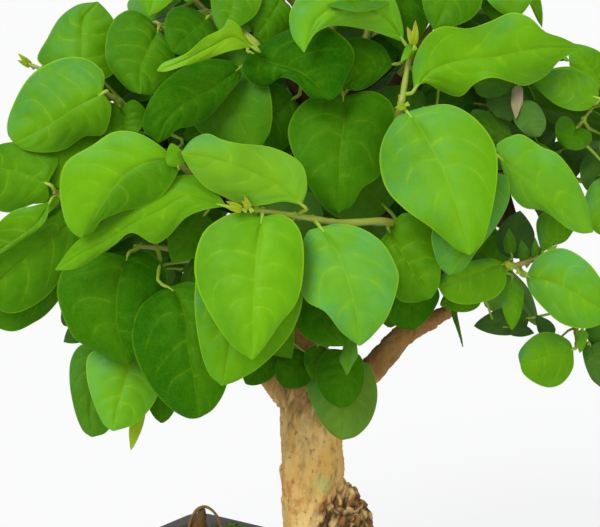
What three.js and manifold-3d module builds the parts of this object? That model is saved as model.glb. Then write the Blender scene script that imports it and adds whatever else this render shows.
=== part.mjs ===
// Chinese privet bonsai in a plain rectangular pot.
// Millimetres, +Z up, the middle of the whole part over the origin and the pot standing on z = 0.
import * as THREE from 'three';
import { mergeVertices } from 'three/addons/utils/BufferGeometryUtils.js';
import Module from 'manifold-3d';

const wasm = await Module();
wasm.setup();

// Driving sizes of the pot
const potLength = 160;
const potWidth = 92;
const potHeight = 52;
const potTaper = 0.88;
const potWall = 5;
const potFloor = 5;
const potCorner = 7;
const cavityCorner = 5;
const rimHeight = 7;
const rimOverhang = 3;
const footHeight = 5;
const footLength = 24;
const footInset = 3;
const drainDiameter = 13;
const drainSpacing = 62;
const soilBelowRim = 4;
const soilMound = 5;
const pieceGap = 0.3;

// The tree stands behind the pot's middle, with its seen side turned from the pot's long side.
const treeTurn = THREE.MathUtils.degToRad(35);
const treeInPot = new THREE.Vector2(1, 14);
// Brings the middle of crown and pot together over the origin.
const potOffset = new THREE.Vector2(-2, -13);
const soilLevel = potHeight - soilBelowRim;

// Driving sizes of the tree
const trunkDiameter = 22;
const trunkSides = 12;
const twigSides = 5;
const twigRows = 4;
const bladeThickness = 1.2;
const stalkRadius = 0.8;
const stalkLength = 4;
const longestStalk = 7;
const stalkFoot = 2.5;
const rootDepth = 1;
const coarseness = 0.12;
const branchletRadius = 2.3;
const twigRadius = 1.5;
const twigEndRadius = 0.9;

// How the photograph sees the tree: its scale follows from the trunk's width in it.
const trunkWidthInPicture = 60;
const viewDistance = 600;
const viewTilt = THREE.MathUtils.degToRad(10);
const pictureCentre = [300, 263.5];
const pictureSize = [600, 527];
const viewHeight = 124;
const viewSide = -4.8;

const pixelsPerSlope = viewDistance * trunkWidthInPicture / trunkDiameter;
const viewForward = new THREE.Vector3(0, Math.cos(viewTilt), -Math.sin(viewTilt));
const viewUp = new THREE.Vector3(0, Math.sin(viewTilt), Math.cos(viewTilt));
const viewTarget = new THREE.Vector3(viewSide, 0, viewHeight);
const eye = viewTarget.clone().addScaledVector(viewForward, -viewDistance);

// Crown, as an ellipsoid that the shoots fill
const crownCentre = new THREE.Vector3(4, 4, 158);
const crownReach = new THREE.Vector3(122, 84, 96);

// Colours and finishes
const barkFinish = new THREE.MeshStandardMaterial({ color: 0xa08658, roughness: 0.9, metalness: 0 });
const potFinish = new THREE.MeshStandardMaterial({ color: 0x4a4c50, roughness: 0.5, metalness: 0 });
const soilFinish = new THREE.MeshStandardMaterial({ color: 0x33261b, roughness: 1, metalness: 0 });
const leafFinish = new THREE.MeshStandardMaterial({ color: 0x4f9a1e, roughness: 0.45, metalness: 0 });

// The point of the tree that shows at picture place (u, v), near millimetres in front of the trunk.
function seen(u, v, near) {
  const slopeX = (u - pictureCentre[0]) / pixelsPerSlope;
  const slopeY = (pictureCentre[1] - v) / pixelsPerSlope;
  const ray = viewForward.clone();
  ray.x += slopeX;
  ray.addScaledVector(viewUp, slopeY);
  return eye.clone().addScaledVector(ray, (-near - eye.y) / ray.y);
}

// The picture place of a point of the tree.
function shownAt(point) {
  const offset = point.clone().sub(eye);
  const depth = offset.dot(viewForward);
  const u = pictureCentre[0] + pixelsPerSlope * offset.x / depth;
  const v = pictureCentre[1] - pixelsPerSlope * offset.dot(viewUp) / depth;
  return [u, v];
}

// Even pseudo-random numbers from 0 to 1, the same on every run.
function dice(seed) {
  let state = (seed * 2654435761 + 12345) % 4294967296;
  return () => {
    state = (state * 1664525 + 1013904223) % 4294967296;
    return state / 4294967296;
  };
}

// A closed solid from a geometry: shared corners merged, collapsed triangles left out.
function solid(geometry) {
  const plain = geometry.clone();
  plain.deleteAttribute('normal');
  plain.deleteAttribute('uv');
  const merged = mergeVertices(plain, 1e-4);
  const corners = [];
  for (let i = 0; i < merged.index.count; i += 3) {
    const [a, b, c] = [0, 1, 2].map((k) => merged.index.getX(i + k));
    if (a !== b && b !== c && c !== a) corners.push(a, b, c);
  }
  return new wasm.Manifold(new wasm.Mesh({
    numProp: 3,
    vertProperties: new Float32Array(merged.attributes.position.array),
    triVerts: new Uint32Array(corners),
  }));
}

// The largest single body of a solid, without loose scraps.
function mainBody(body) {
  const bodies = body.decompose();
  bodies.sort((a, b) => b.volume() - a.volume());
  return bodies[0];
}

function namedMesh(name, body, material) {
  const { vertProperties, triVerts } = body.getMesh();
  const geometry = new THREE.BufferGeometry();
  geometry.setAttribute('position', new THREE.BufferAttribute(vertProperties, 3));
  geometry.setIndex(new THREE.BufferAttribute(triVerts, 1));
  geometry.computeVertexNormals();
  const mesh = new THREE.Mesh(geometry, material);
  mesh.name = name;
  return mesh;
}

// A smooth curve through points.
function route(points) {
  return new THREE.CatmullRomCurve3(points, false, 'catmullrom', 0.5);
}

// The same through picture places.
function seenRoute(places) {
  return route(places.map((place) => seen(...place)));
}

// A value read between the entries of a list, at a place from 0 to 1.
function between(list, place) {
  const at = place * (list.length - 1);
  const low = Math.min(Math.floor(at), list.length - 2);
  return list[low] + (list[low + 1] - list[low]) * (at - low);
}

// Frames along a curve, each turned as little as it can from the one before.
function frames(curve, rows) {
  let across = new THREE.Vector3(0.3, -0.5, 0.81);
  return Array.from({ length: rows + 1 }, (unused, row) => {
    const tangent = curve.getTangent(row / rows);
    across = across.clone().addScaledVector(tangent, -across.dot(tangent)).normalize();
    return { point: curve.getPoint(row / rows), tangent, across, other: tangent.clone().cross(across) };
  });
}

// A tapering limb along a curve; swell(place, angle) scales its radius.
function limb(curve, radii, sides, rows, grow = 0, swell = () => 1) {
  const shape = new THREE.CylinderGeometry(1, 1, 1, sides, rows);
  const position = shape.attributes.position;
  const line = frames(curve, rows);
  for (let i = 0; i < position.count; i += 1) {
    const place = position.getY(i) + 0.5;
    const { point, tangent, across, other } = line[Math.round(place * rows)];
    const angle = Math.atan2(position.getZ(i), position.getX(i));
    const radius = between(radii, place) * swell(place, angle) + grow;
    const corner = point.clone().addScaledVector(across, radius * position.getX(i));
    corner.addScaledVector(other, -radius * position.getZ(i));
    if (place === 0) corner.addScaledVector(tangent, -grow);
    if (place === 1) corner.addScaledVector(tangent, grow);
    position.setXYZ(i, corner.x, corner.y, corner.z);
  }
  return shape;
}

// Half a blade's breadth, as a share of its widest, from its base (0) to its tip (1).
function breadth(place, bluntness) {
  const widest = 0.5 / (0.5 + bluntness);
  const outline = (p) => Math.sqrt(p) * (1 - p) ** bluntness;
  return outline(place) / outline(widest);
}

// One leaf: its foot on the twig, the blade's base and tip, the way its upper face looks,
// its width and its form.
function makeLeaf(foot, base, tip, faceHint, width, form = {}) {
  const axis = tip.clone().sub(base);
  const length = axis.length();
  axis.divideScalar(length);
  const face = faceHint.clone().addScaledVector(axis, -faceHint.dot(axis)).normalize();
  face.applyAxisAngle(axis, THREE.MathUtils.degToRad(form.turn ?? 0));
  const side = new THREE.Vector3().crossVectors(face, axis);
  const shape = { blunt: 0.8, arch: 0.07, sweep: 0, cup: -0.06, wave: 0.8, waves: 1.5, phase: 0, rows: 6 };
  return { foot, base, axis, length, face, side, width, ...shape, ...form };
}

// A point of a blade: across from -1 to 1, along from 0 (base) to 1 (tip), lifted off its middle.
function bladePoint(leaf, across, along, lift = 0) {
  const blade = breadth(along, leaf.blunt);
  const half = 0.5 * leaf.width * blade + stalkRadius * (1 - along);
  const bow = 4 * along * (1 - along);
  const ripple = Math.sin(2 * Math.PI * leaf.waves * along + leaf.phase + (across < 0 ? 2 : 0));
  const edge = across * across * (leaf.cup * half + leaf.wave * ripple * blade);
  return leaf.base.clone()
    .addScaledVector(leaf.axis, leaf.length * along)
    .addScaledVector(leaf.face, leaf.length * leaf.arch * bow + edge + lift)
    .addScaledVector(leaf.side, leaf.length * leaf.sweep * bow + half * across);
}

// The thin closed solid of a leaf, both faces split into triangles alike: a point sunk in the
// twig, the stalk, then the blade's rows out to its tip.
function leafGeometry(leaf) {
  const stalk = leaf.base.clone().sub(leaf.foot);
  const root = leaf.foot.clone().addScaledVector(stalk, -rootDepth / stalk.length());
  const stalkRows = stalk.length() > longestStalk ? 2 : 1;
  const rows = leaf.rows + stalkRows - 1;
  const grid = new THREE.PlaneGeometry(2, 1, 2, rows);
  const corners = grid.attributes.position;
  const points = [];
  for (const half of [1, -1]) {
    for (let i = 0; i < corners.count; i += 1) {
      const row = Math.floor(i / 3);
      const across = Math.round(corners.getX(i));
      const thick = across === 0 && row > 0 && row < rows ? half * bladeThickness / 2 : 0;
      const along = Math.max(0, (row - stalkRows) / (leaf.rows - 1));
      const point = row === 0 ? root.clone() : bladePoint(leaf, across, along, thick);
      if (row > 0 && row < stalkRows) point.addScaledVector(stalk, stalkFoot / stalk.length() - 1);
      points.push(point.x, point.y, point.z);
    }
  }
  const triangles = [];
  for (let i = 0; i < grid.index.count; i += 3) {
    const [a, b, c] = [0, 1, 2].map((k) => grid.index.getX(i + k));
    triangles.push(a, b, c, a + corners.count, c + corners.count, b + corners.count);
  }
  const geometry = new THREE.BufferGeometry();
  geometry.setAttribute('position', new THREE.Float32BufferAttribute(points, 3));
  geometry.setIndex(triangles);
  return geometry;
}

// The wood: limbs as picture points with how near they lie (mm), and radii (mm) along them.
const trunkLine = [
  [321, 632, 0], [321, 592, 0], [318, 566, 0], [314, 530, 0], [313, 480, 0], [313, 430, 0], [312, 388, -1],
];
const trunkRadii = [15, 17, 14, 11.6, 11, 10.8, 11.4];
const burlCentre = seen(345, 534, 3);
const burlRadius = 12.5;
const burlStretch = 1.35;
const boughs = [
  {
    line: [[312, 398, -1], [302, 330, -8], [316, 260, -12], [330, 165, -14], [334, 90, -12]],
    radii: [9, 6.6, 5.4, 4, 2.6],
  },
  {
    line: [[306, 404, 0], [272, 374, 2], [240, 340, 4], [212, 300, 0], [190, 250, -6], [176, 205, -8]],
    radii: [8.5, 5.6, 4.8, 4.3, 3.6, 2.6],
  },
  {
    line: [[320, 404, 0], [366, 374, 2], [388, 352, 2], [408, 332, 1], [446, 312, 0], [486, 276, -6],
      [512, 226, -10]],
    radii: [8.5, 4.9, 4.6, 4, 2.7, 2.6, 2.4],
  },
];

// The leaves that the picture shows, shoot by shoot: blade base and tip as picture points with
// how near they lie, width in picture pixels, and form.
const shownShoots = {
  spray_front_centre: {
    twig: [[410, 236, 20], [390, 222, 52], [345, 223, 62], [320, 220, 68], [285, 214, 73], [243, 208, 76]],
    blades: [
      [[262, 217, 76], [252, 360, 90], 108, { blunt: 0.9, waves: 1, rows: 7 }],
      [[320, 227, 71], [360, 346, 82], 96, { blunt: 0.85, rows: 7 }],
      [[302, 205, 77], [181, 153, 82], 62, { arch: 0.05, rows: 7, sweep: 0.04 }],
      [[226, 206, 76], [55, 270, 58], 56, { blunt: 0.7, wave: 2.6, waves: 2.2, sweep: -0.05, rows: 8 }],
      [[250, 224, 69], [222, 386, 78], 100, { blunt: 0.75 }],
      [[389, 230, 49], [432, 298, 58], 72, { blunt: 0.7 }],
    ],
  },
  spray_centre_low: {
    twig: [[326, 290, 14], [346, 270, 32], [364, 258, 36], [384, 248, 34]],
    blades: [
      [[336, 268, 44], [345, 346, 62], 60, {}],
      [[398, 262, 36], [414, 330, 42], 50, { blunt: 0.6 }],
    ],
  },
  spray_front_left: {
    twig: [[236, 200, 22], [212, 186, 52], [184, 168, 70], [178, 150, 72]],
    blades: [
      [[172, 158, 74], [82, 238, 70], 86, { blunt: 0.75, rows: 7, wave: 1.2 }],
      [[178, 166, 76], [171, 143, 78], 16, {}],
      [[205, 214, 56], [172, 262, 58], 42, {}],
    ],
  },
  spray_left_upper: {
    twig: [[150, 128, 12], [128, 110, 38], [108, 94, 52]],
    blades: [
      [[103, 93, 55], [14, 143, 50], 86, { blunt: 0.55, arch: 0.1, rows: 7 }],
      [[82, 78, 38], [98, 2, 24], 78, { blunt: 0.7 }],
      [[120, 108, 46], [126, 142, 50], 40, {}],
      [[96, 118, 42], [50, 190, 50], 60, { blunt: 0.8 }],
    ],
  },
  spray_upper_left: {
    twig: [[262, 96, 8], [264, 70, 34], [258, 46, 46], [236, 28, 41], [212, 12, 36], [168, 20, 37]],
    blades: [
      [[158, 30, 40], [140, 94, 52], 66, { blunt: 0.75 }],
      [[207, 18, 40], [172, 52, 49], 58, { blunt: 0.7 }],
      [[250, 52, 46], [330, 100, 60], 80, { wave: 3, waves: 1.8, rows: 8 }],
      [[252, 47, 56], [157, 71, 64], 30, { sweep: -0.17, turn: 20, rows: 7 }],
      [[240, 68, 46], [158, 143, 60], 60, { rows: 7 }],
    ],
  },
  spray_top_left: {
    twig: [[306, 36, 0], [290, -2, 24], [250, -26, 32], [204, -40, 34], [166, -42, 34]],
    blades: [
      [[280, -2, 36], [254, 36, 42], 44, { blunt: 0.55 }],
      [[164, -34, 38], [149, 16, 44], 38, {}],
      [[244, -20, 37], [222, 34, 49], 46, {}],
      [[201, -34, 37], [186, 2, 44], 44, {}],
    ],
  },
  spray_upper_centre: {
    twig: [[330, 130, 8], [338, 108, 30], [338, 84, 40], [318, 72, 38], [300, 78, 36]],
    blades: [
      [[343, 96, 44], [339, 213, 60], 106, { rows: 7, blunt: 0.85 }],
      [[294, 98, 38], [232, 152, 44], 64, { arch: 0.04 }],
    ],
  },
  spray_upper_right: {
    twig: [[378, 150, 10], [394, 128, 40], [400, 108, 56], [406, 76, 52], [412, 42, 48]],
    blades: [
      [[407, 112, 60], [470, 255, 76], 116, { blunt: 0.85, rows: 7 }],
      [[414, 90, 57], [582, 48, 44], 68, { blunt: 0.8, wave: 3.2, waves: 2, rows: 8, phase: 2 }],
      [[404, 42, 52], [304, 53, 66], 82, { sweep: 0.34, rows: 7 }],
      [[394, 64, 44], [342, 88, 46], 50, {}],
    ],
  },
  spray_top_right: {
    twig: [[396, 50, 0], [420, 8, 20], [454, -32, 30], [504, -44, 28]],
    blades: [
      [[462, -26, 34], [434, 30, 42], 58, {}],
      [[504, -36, 32], [516, 19, 38], 52, {}],
      [[520, -44, 26], [542, 27, 20], 12, {}],
    ],
  },
  spray_right: {
    twig: [[456, 190, 8], [474, 176, 36], [486, 160, 47], [489, 146, 50]],
    blades: [
      [[499, 157, 53], [593, 232, 48], 60, { wave: 1.4, rows: 7 }],
      [[484, 172, 52], [449, 275, 64], 78, { blunt: 0.7 }],
    ],
  },
  spray_right_low: {
    twig: [[486, 290, 12], [498, 272, 38], [514, 266, 44], [540, 258, 40]],
    blades: [
      [[526, 276, 45], [609, 313, 50], 66, { blunt: 0.65, rows: 7 }],
      [[504, 264, 47], [438, 287, 52], 50, { blunt: 0.6 }],
      [[480, 290, 36], [440, 305, 38], 30, {}],
      [[512, 278, 40], [512, 330, 42], 20, {}],
      [[542, 252, 36], [577, 224, 33], 30, {}],
      [[512, 258, 30], [520, 211, 24], 36, {}],
    ],
  },
  spray_right_tip: {
    twig: [[560, 290, -10], [574, 322, 8], [578, 346, 20]],
    blades: [
      [[573, 349, 22], [520, 364, 24], 54, { blunt: 0.5, arch: 0.04 }],
      [[590, 346, 21], [598, 388, 22], 32, {}],
      [[552, 336, 8], [536, 316, 8], 14, {}],
      [[528, 318, 2], [474, 326, 2], 26, {}],
    ],
  },
  spray_right_back: {
    twig: [[520, 150, -30], [560, 130, -42], [600, 100, -34]],
    blades: [
      [[588, 100, -32], [534, 78, -26], 46, {}],
      [[604, 88, -36], [570, 44, -36], 36, {}],
      [[584, 124, -28], [558, 130, -24], 26, { blunt: 0.45 }],
      [[556, 134, -36], [520, 118, -34], 30, {}],
      [[566, 140, -38], [566, 186, -32], 34, {}],
      [[606, 150, -34], [600, 190, -28], 36, {}],
    ],
  },
  spray_left: {
    twig: [[150, 196, 10], [110, 200, 30], [76, 200, 44], [54, 192, 52]],
    blades: [
      [[48, 184, 53], [-26, 168, 42], 70, { blunt: 0.75 }],
      [[50, 202, 55], [-20, 262, 46], 34, { turn: -40 }],
      [[74, 220, 46], [-22, 300, 38], 84, { blunt: 0.75 }],
      [[76, 240, 36], [-24, 318, 28], 78, { blunt: 0.75 }],
    ],
  },
  spray_lower_left: {
    twig: [[214, 262, 14], [190, 252, 32], [164, 248, 42], [134, 246, 40]],
    blades: [
      [[168, 287, 52], [199, 418, 66], 86, { blunt: 0.65, rows: 7 }],
      [[128, 256, 44], [129, 364, 54], 106, { blunt: 0.7, rows: 7 }],
    ],
  },
  spray_lower_left_inner: {
    twig: [[206, 322, 10], [170, 334, 26], [140, 342, 34], [116, 340, 32]],
    blades: [
      [[137, 344, 38], [113, 431, 48], 66, { blunt: 0.7 }],
      [[108, 346, 32], [92, 437, 40], 52, { blunt: 0.55 }],
      [[164, 350, 28], [162, 423, 34], 36, { blunt: 0.6 }],
      [[142, 400, 36], [131, 450, 34], 11, {}],
      [[96, 320, 26], [64, 342, 26], 22, {}],
    ],
  },
  spray_trunk_front: {
    twig: [[318, 372, 12], [320, 352, 24], [334, 340, 34], [350, 334, 42]],
    blades: [
      [[352, 362, 26], [342, 440, 32], 70, { blunt: 0.5 }],
      [[346, 350, 36], [340, 408, 42], 50, { blunt: 0.5 }],
      [[318, 346, 30], [315, 382, 34], 24, {}],
      [[352, 338, 46], [347, 375, 50], 18, { turn: 40 }],
      [[306, 354, 27], [282, 386, 34], 38, { blunt: 0.55 }],
      [[276, 346, 22], [246, 384, 26], 32, { blunt: 0.6 }],
    ],
  },
};

// Shoots that fill the back, the top and the sides of the crown.
const fillCount = 52;
const goldenAngle = Math.PI * (3 - Math.sqrt(5));
const fillTop = 0.97;
const fillBottom = -0.58;
const fillStart = 0.45;
const fillEnd = 0.84;
const fillPairs = 4;
const fillLeaf = 46;
const fillTries = 9;

// Outline of the crown in the picture, with the parts past the picture's edges.
const crownOutline = [
  [-44, 230], [-34, 168], [0, 142], [12, 108], [38, 66], [62, 20], [104, 3], [150, -8], [200, -50],
  [335, -84], [480, -58], [526, 0], [544, 34], [600, 56], [672, 120], [700, 190], [690, 238],
  [600, 238], [556, 241], [541, 236], [534, 214], [511, 200], [507, 216], [516, 246], [560, 250],
  [690, 262], [670, 330], [620, 378], [594, 382], [584, 342], [545, 332], [500, 334], [468, 330],
  [440, 316], [400, 326], [352, 342], [300, 370], [240, 380], [200, 412], [150, 420], [92, 434],
  [72, 400], [66, 332], [0, 328], [-34, 300],
];

function insideOutline(u, v) {
  let inside = false;
  crownOutline.forEach(([ua, va], i) => {
    const [ub, vb] = crownOutline[(i + 1) % crownOutline.length];
    if ((va > v) !== (vb > v) && u < ua + (ub - ua) * (v - va) / (vb - va)) inside = !inside;
  });
  return inside;
}

// The middle line of a twig, in the straight runs that its limb has.
function twigLine(curve) {
  const runs = curve.getPoints(twigRows);
  const points = [];
  for (let run = 0; run < twigRows; run += 1) {
    for (let step = 0; step < 8; step += 1) {
      points.push(runs[run].clone().lerp(runs[run + 1], step / 8));
    }
  }
  return points.slice(2, -1);
}

// The point of a list of curve samples that lies nearest to a point.
function nearest(samples, point) {
  return samples.reduce((best, sample) => (
    sample.distanceToSquared(point) < best.distanceToSquared(point) ? sample : best));
}

// Where a fill shoot's twig runs: from inside the crown straight out to near its surface.
function fillTwig(index) {
  const height = fillTop - (fillTop - fillBottom) * (index - 1) / (fillCount - 1);
  const flat = Math.sqrt(1 - height * height);
  const turn = goldenAngle * (index - 1);
  const out = new THREE.Vector3(Math.cos(turn) * flat, Math.sin(turn) * flat, height);
  const reach = out.clone().multiply(crownReach);
  const points = [fillStart, (fillStart + fillEnd) / 2, fillEnd].map((share, step) => (
    crownCentre.clone().addScaledVector(reach, share).add(new THREE.Vector3(0, 0, step === 1 ? 3 : 0))));
  return { points, out: reach.normalize() };
}

// Fill shoots stand only where the picture doesn't already show the crown's leaves.
function needed(end) {
  const [u, v] = shownAt(end);
  const inPicture = u > 0 && u < pictureSize[0] && v > 0 && v < pictureSize[1];
  return insideOutline(u, v) && (!inPicture || end.y > -8);
}

const surfaceRows = 6;

// The middle surface of a blade as a small grid, with the sphere that holds it.
function surface(leaf) {
  const points = [];
  for (let row = 0; row < surfaceRows; row += 1) {
    for (const across of [-1, 0, 1]) points.push(bladePoint(leaf, across, row / (surfaceRows - 1)));
  }
  const centre = leaf.base.clone().addScaledVector(leaf.axis, leaf.length / 2);
  const radius = Math.max(...points.map((point) => point.distanceTo(centre)));
  return { points, centre, radius, face: leaf.face };
}

const surfaceEdges = [];
const surfaceTriangles = [];
for (let row = 0; row < surfaceRows; row += 1) {
  for (let column = 0; column < 3; column += 1) {
    const corner = 3 * row + column;
    if (column < 2) surfaceEdges.push([corner, corner + 1]);
    if (row < surfaceRows - 1) surfaceEdges.push([corner, corner + 3]);
    if (column < 2 && row < surfaceRows - 1) {
      surfaceTriangles.push([corner, corner + 1, corner + 3], [corner + 1, corner + 4, corner + 3]);
    }
  }
}

function segmentMeetsTriangle(start, end, a, b, c) {
  const along = end.clone().sub(start);
  const ab = b.clone().sub(a);
  const ac = c.clone().sub(a);
  const normal = new THREE.Vector3().crossVectors(along, ac);
  const scale = ab.dot(normal);
  if (Math.abs(scale) < 1e-9) return false;
  const offset = start.clone().sub(a);
  const p = offset.dot(normal) / scale;
  const turned = offset.clone().cross(ab);
  const q = along.dot(turned) / scale;
  const reach = ac.dot(turned) / scale;
  return p >= 0 && q >= 0 && p + q <= 1 && reach >= 0 && reach <= 1;
}

// Whether one blade's edges pass through another, or within the clearance of its faces.
const clearance = 1.5;
function pierces(one, other) {
  return [0, -clearance, clearance].some((lift) => {
    const layer = other.points.map((point) => point.clone().addScaledVector(other.face, lift));
    return surfaceEdges.some(([i, j]) => surfaceTriangles.some(([a, b, c]) => (
      segmentMeetsTriangle(one.points[i], one.points[j], layer[a], layer[b], layer[c]))));
  });
}

function crosses(one, other) {
  if (one.centre.distanceTo(other.centre) > one.radius + other.radius + clearance) return false;
  return pierces(one, other) || pierces(other, one);
}

// Samples along a limb with its radius, to keep blades clear of the wood.
const woodSteps = 12;
function woodSamples(curve, radii, owner) {
  const points = curve.getPoints(woodSteps);
  return points.map((point, i) => (
    { point, next: points[Math.min(i + 1, woodSteps)], radius: between(radii, i / woodSteps), owner }));
}

function nearWood(leaf, wood, owner) {
  const close = wood.filter((sample) => sample.owner !== owner
    && sample.point.distanceTo(leaf.centre) < leaf.radius + sample.radius + 2 * clearance);
  const touches = close.some((sample) => leaf.points.some((point) => (
    point.distanceTo(sample.point) < sample.radius + clearance)));
  return touches || [0, -2 * clearance, 2 * clearance].some((lift) => {
    const layer = leaf.points.map((point) => point.clone().addScaledVector(leaf.face, lift));
    return close.some(({ point, next }) => surfaceTriangles.some(([a, b, c]) => (
      segmentMeetsTriangle(point, next, layer[a], layer[b], layer[c]))));
  });
}

// One try at a fill leaf: place along the twig, side of the pair, chance numbers for its form.
function fillBlade(twig, out, along, pair, side, size, roll) {
  const level = new THREE.Vector3(0, 0, 1).cross(out).normalize();
  const upright = out.clone().cross(level);
  const spread = pair % 2 ? upright : level;
  const foot = twig[Math.round(along * (twig.length - 1))];
  const lean = 0.35 + 0.5 * roll();
  const axis = out.clone().multiplyScalar(lean).addScaledVector(spread, side);
  axis.z -= 0.25 + 0.5 * roll();
  axis.normalize();
  const base = foot.clone().addScaledVector(axis, stalkLength);
  const length = size * (0.85 + 0.3 * roll());
  const hint = out.clone().multiplyScalar(0.8).add(new THREE.Vector3(0, 0, 0.55));
  return makeLeaf(foot, base, base.clone().addScaledVector(axis, length), hint, length * 0.74, {
    blunt: 0.6 + 0.3 * roll(),
    arch: 0.04 + 0.08 * roll(),
    turn: 50 * (roll() - 0.5),
    phase: 6 * roll(),
    rows: 5,
  });
}

const trunkCurve = seenRoute(trunkLine);
const boughCurves = boughs.map(({ line }) => seenRoute(line));
const boughSamples = boughCurves.flatMap((curve) => curve.getPoints(20).slice(6));
const branchletRadii = [branchletRadius + 0.6, branchletRadius, branchletRadius - 0.6];
const twigRadii = [twigRadius, twigRadius, twigEndRadius];
const wood = [
  ...woodSamples(trunkCurve, trunkRadii, 'trunk'),
  ...boughs.flatMap(({ radii }, i) => woodSamples(boughCurves[i], radii, 'trunk')),
];

// The branchlet that carries a twig: from the nearest bough, bending into the twig's line.
function branchletTo(twig) {
  const start = twig.getPoint(0);
  const inward = twig.getTangent(0);
  const end = start.clone().addScaledVector(inward, -pieceGap);
  const source = nearest(boughSamples, start.clone().addScaledVector(inward, -30));
  const bend = end.clone().addScaledVector(inward, -0.35 * end.distanceTo(source));
  return route([source, bend, end]);
}

// Whether two limbs' samples come closer than their radii and a clearance.
function limbsMeet(one, other) {
  return one.some((a) => other.some((b) => (
    a.point.distanceTo(b.point) < a.radius + b.radius + clearance)));
}

// All shoots, shown and fill: each has a twig, and a branchlet that carries it.
const toEye = new THREE.Vector3(0, -Math.cos(viewTilt), Math.sin(viewTilt));
const shoots = [];
function addShoot(shoot, always) {
  const branchlet = branchletTo(shoot.twig);
  const twigWood = woodSamples(shoot.twig, twigRadii, shoot.name);
  const branchletWood = woodSamples(branchlet, branchletRadii, 'trunk');
  const otherTwigs = wood.filter(({ owner }) => owner !== 'trunk');
  if (!always && (limbsMeet(twigWood, wood) || limbsMeet(branchletWood, otherTwigs))) return;
  shoots.push({ ...shoot, branchlet });
  wood.push(...twigWood, ...branchletWood);
}
for (const [name, { twig, blades }] of Object.entries(shownShoots)) {
  addShoot({ name, twig: seenRoute(twig), blades }, true);
}
for (let index = 1; index <= fillCount; index += 1) {
  const { points, out } = fillTwig(index);
  const name = `spray_fill_${String(index).padStart(2, '0')}`;
  if (needed(points[2])) addShoot({ name, twig: route(points), out, index }, false);
}

// The leaves: those that the picture shows first, then the fill where it stays clear of them.
const placed = [];
for (const shoot of shoots) {
  if (!shoot.blades) continue;
  const twigPoints = twigLine(shoot.twig);
  shoot.leaves = shoot.blades.map(([base, tip, width, form]) => {
    const from = seen(...base);
    const to = seen(...tip);
    const scale = (viewDistance - (base[2] + tip[2]) / 2) / pixelsPerSlope;
    const behind = from.clone().addScaledVector(to.clone().sub(from).normalize(), -stalkLength);
    return makeLeaf(nearest(twigPoints, behind), from, to, toEye, width * scale, form);
  });
  placed.push(...shoot.leaves.map(surface));
}
for (const shoot of shoots) {
  if (shoot.blades) continue;
  shoot.leaves = [];
  const twigPoints = twigLine(shoot.twig);
  for (let pair = 0; pair < fillPairs; pair += 1) {
    for (const side of [-1, 1]) {
      for (let attempt = 0; attempt < fillTries; attempt += 1) {
        const roll = dice(1000 * shoot.index + 100 * pair + 10 * attempt + side);
        const along = 1 - pair / fillPairs;
        const size = fillLeaf * (pair === 0 ? 0.85 : 1);
        const leaf = fillBlade(twigPoints, shoot.out, along, pair, side, size, roll);
        const shape = surface(leaf);
        const inside = shape.points.every((point) => insideOutline(...shownAt(point)));
        const clear = inside && !nearWood(shape, wood, shoot.name)
          && !placed.some((other) => crosses(shape, other));
        if (clear) {
          shoot.leaves.push(leaf);
          placed.push(shape);
          break;
        }
      }
    }
  }
}

// Tree: trunk, burl, boughs and branchlets are one grown piece.
function barkSwell(place, angle) {
  return 1 + 0.035 * Math.sin(3 * angle + 9 * place) + 0.02 * Math.sin(7 * angle - 25 * place);
}

// The trunk's foot spreads in buttresses where it meets the soil.
function trunkSwell(place, angle) {
  return barkSwell(place, angle) + 0.13 * Math.sin(4 * angle + 1) * Math.max(0, 1 - 2.6 * place);
}

function burlGeometry(grow) {
  const burl = new THREE.SphereGeometry(1, 12, 9);
  const position = burl.attributes.position;
  for (let i = 0; i < position.count; i += 1) {
    const [x, y, z] = [position.getX(i), position.getY(i), position.getZ(i)];
    const lumps = 1 + 0.09 * Math.sin(5 * x + 2 * z) * Math.cos(6 * y) + 0.07 * Math.sin(9 * z - 4 * y);
    const radius = burlRadius * lumps + grow;
    const corner = new THREE.Vector3(x, y, burlStretch * z).multiplyScalar(radius).add(burlCentre);
    position.setXYZ(i, corner.x, corner.y, corner.z);
  }
  return burl;
}

function woodSolid(grow) {
  const pieces = [
    solid(limb(trunkCurve, trunkRadii, trunkSides, 12, grow, trunkSwell)),
    solid(burlGeometry(grow)),
    ...boughs.map(({ radii }, i) => solid(limb(boughCurves[i], radii, 7, 9, grow, barkSwell))),
  ];
  if (grow === 0) {
    pieces.push(...shoots.map(({ branchlet }) => solid(limb(branchlet, branchletRadii, 4, 2))));
  }
  return wasm.Manifold.union(pieces).simplify(coarseness);
}

function spraySolid(shoot) {
  const twig = solid(limb(shoot.twig, twigRadii, twigSides, twigRows));
  const leaves = shoot.leaves.map((leaf) => solid(leafGeometry(leaf)));
  return wasm.Manifold.union([twig, ...leaves]).simplify(coarseness);
}

const tree = new THREE.Group();
tree.rotation.z = treeTurn;
tree.position.set(treeInPot.x, treeInPot.y, soilLevel);
tree.updateMatrix();
const planted = new THREE.Group();
planted.position.set(potOffset.x, potOffset.y, 0);
planted.add(tree);
const bonsai = new THREE.Group();
bonsai.add(planted);
tree.add(namedMesh('trunk_and_branches', mainBody(woodSolid(0)), barkFinish));
for (const shoot of shoots) {
  tree.add(namedMesh(shoot.name, mainBody(spraySolid(shoot)), leafFinish));
}

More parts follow.
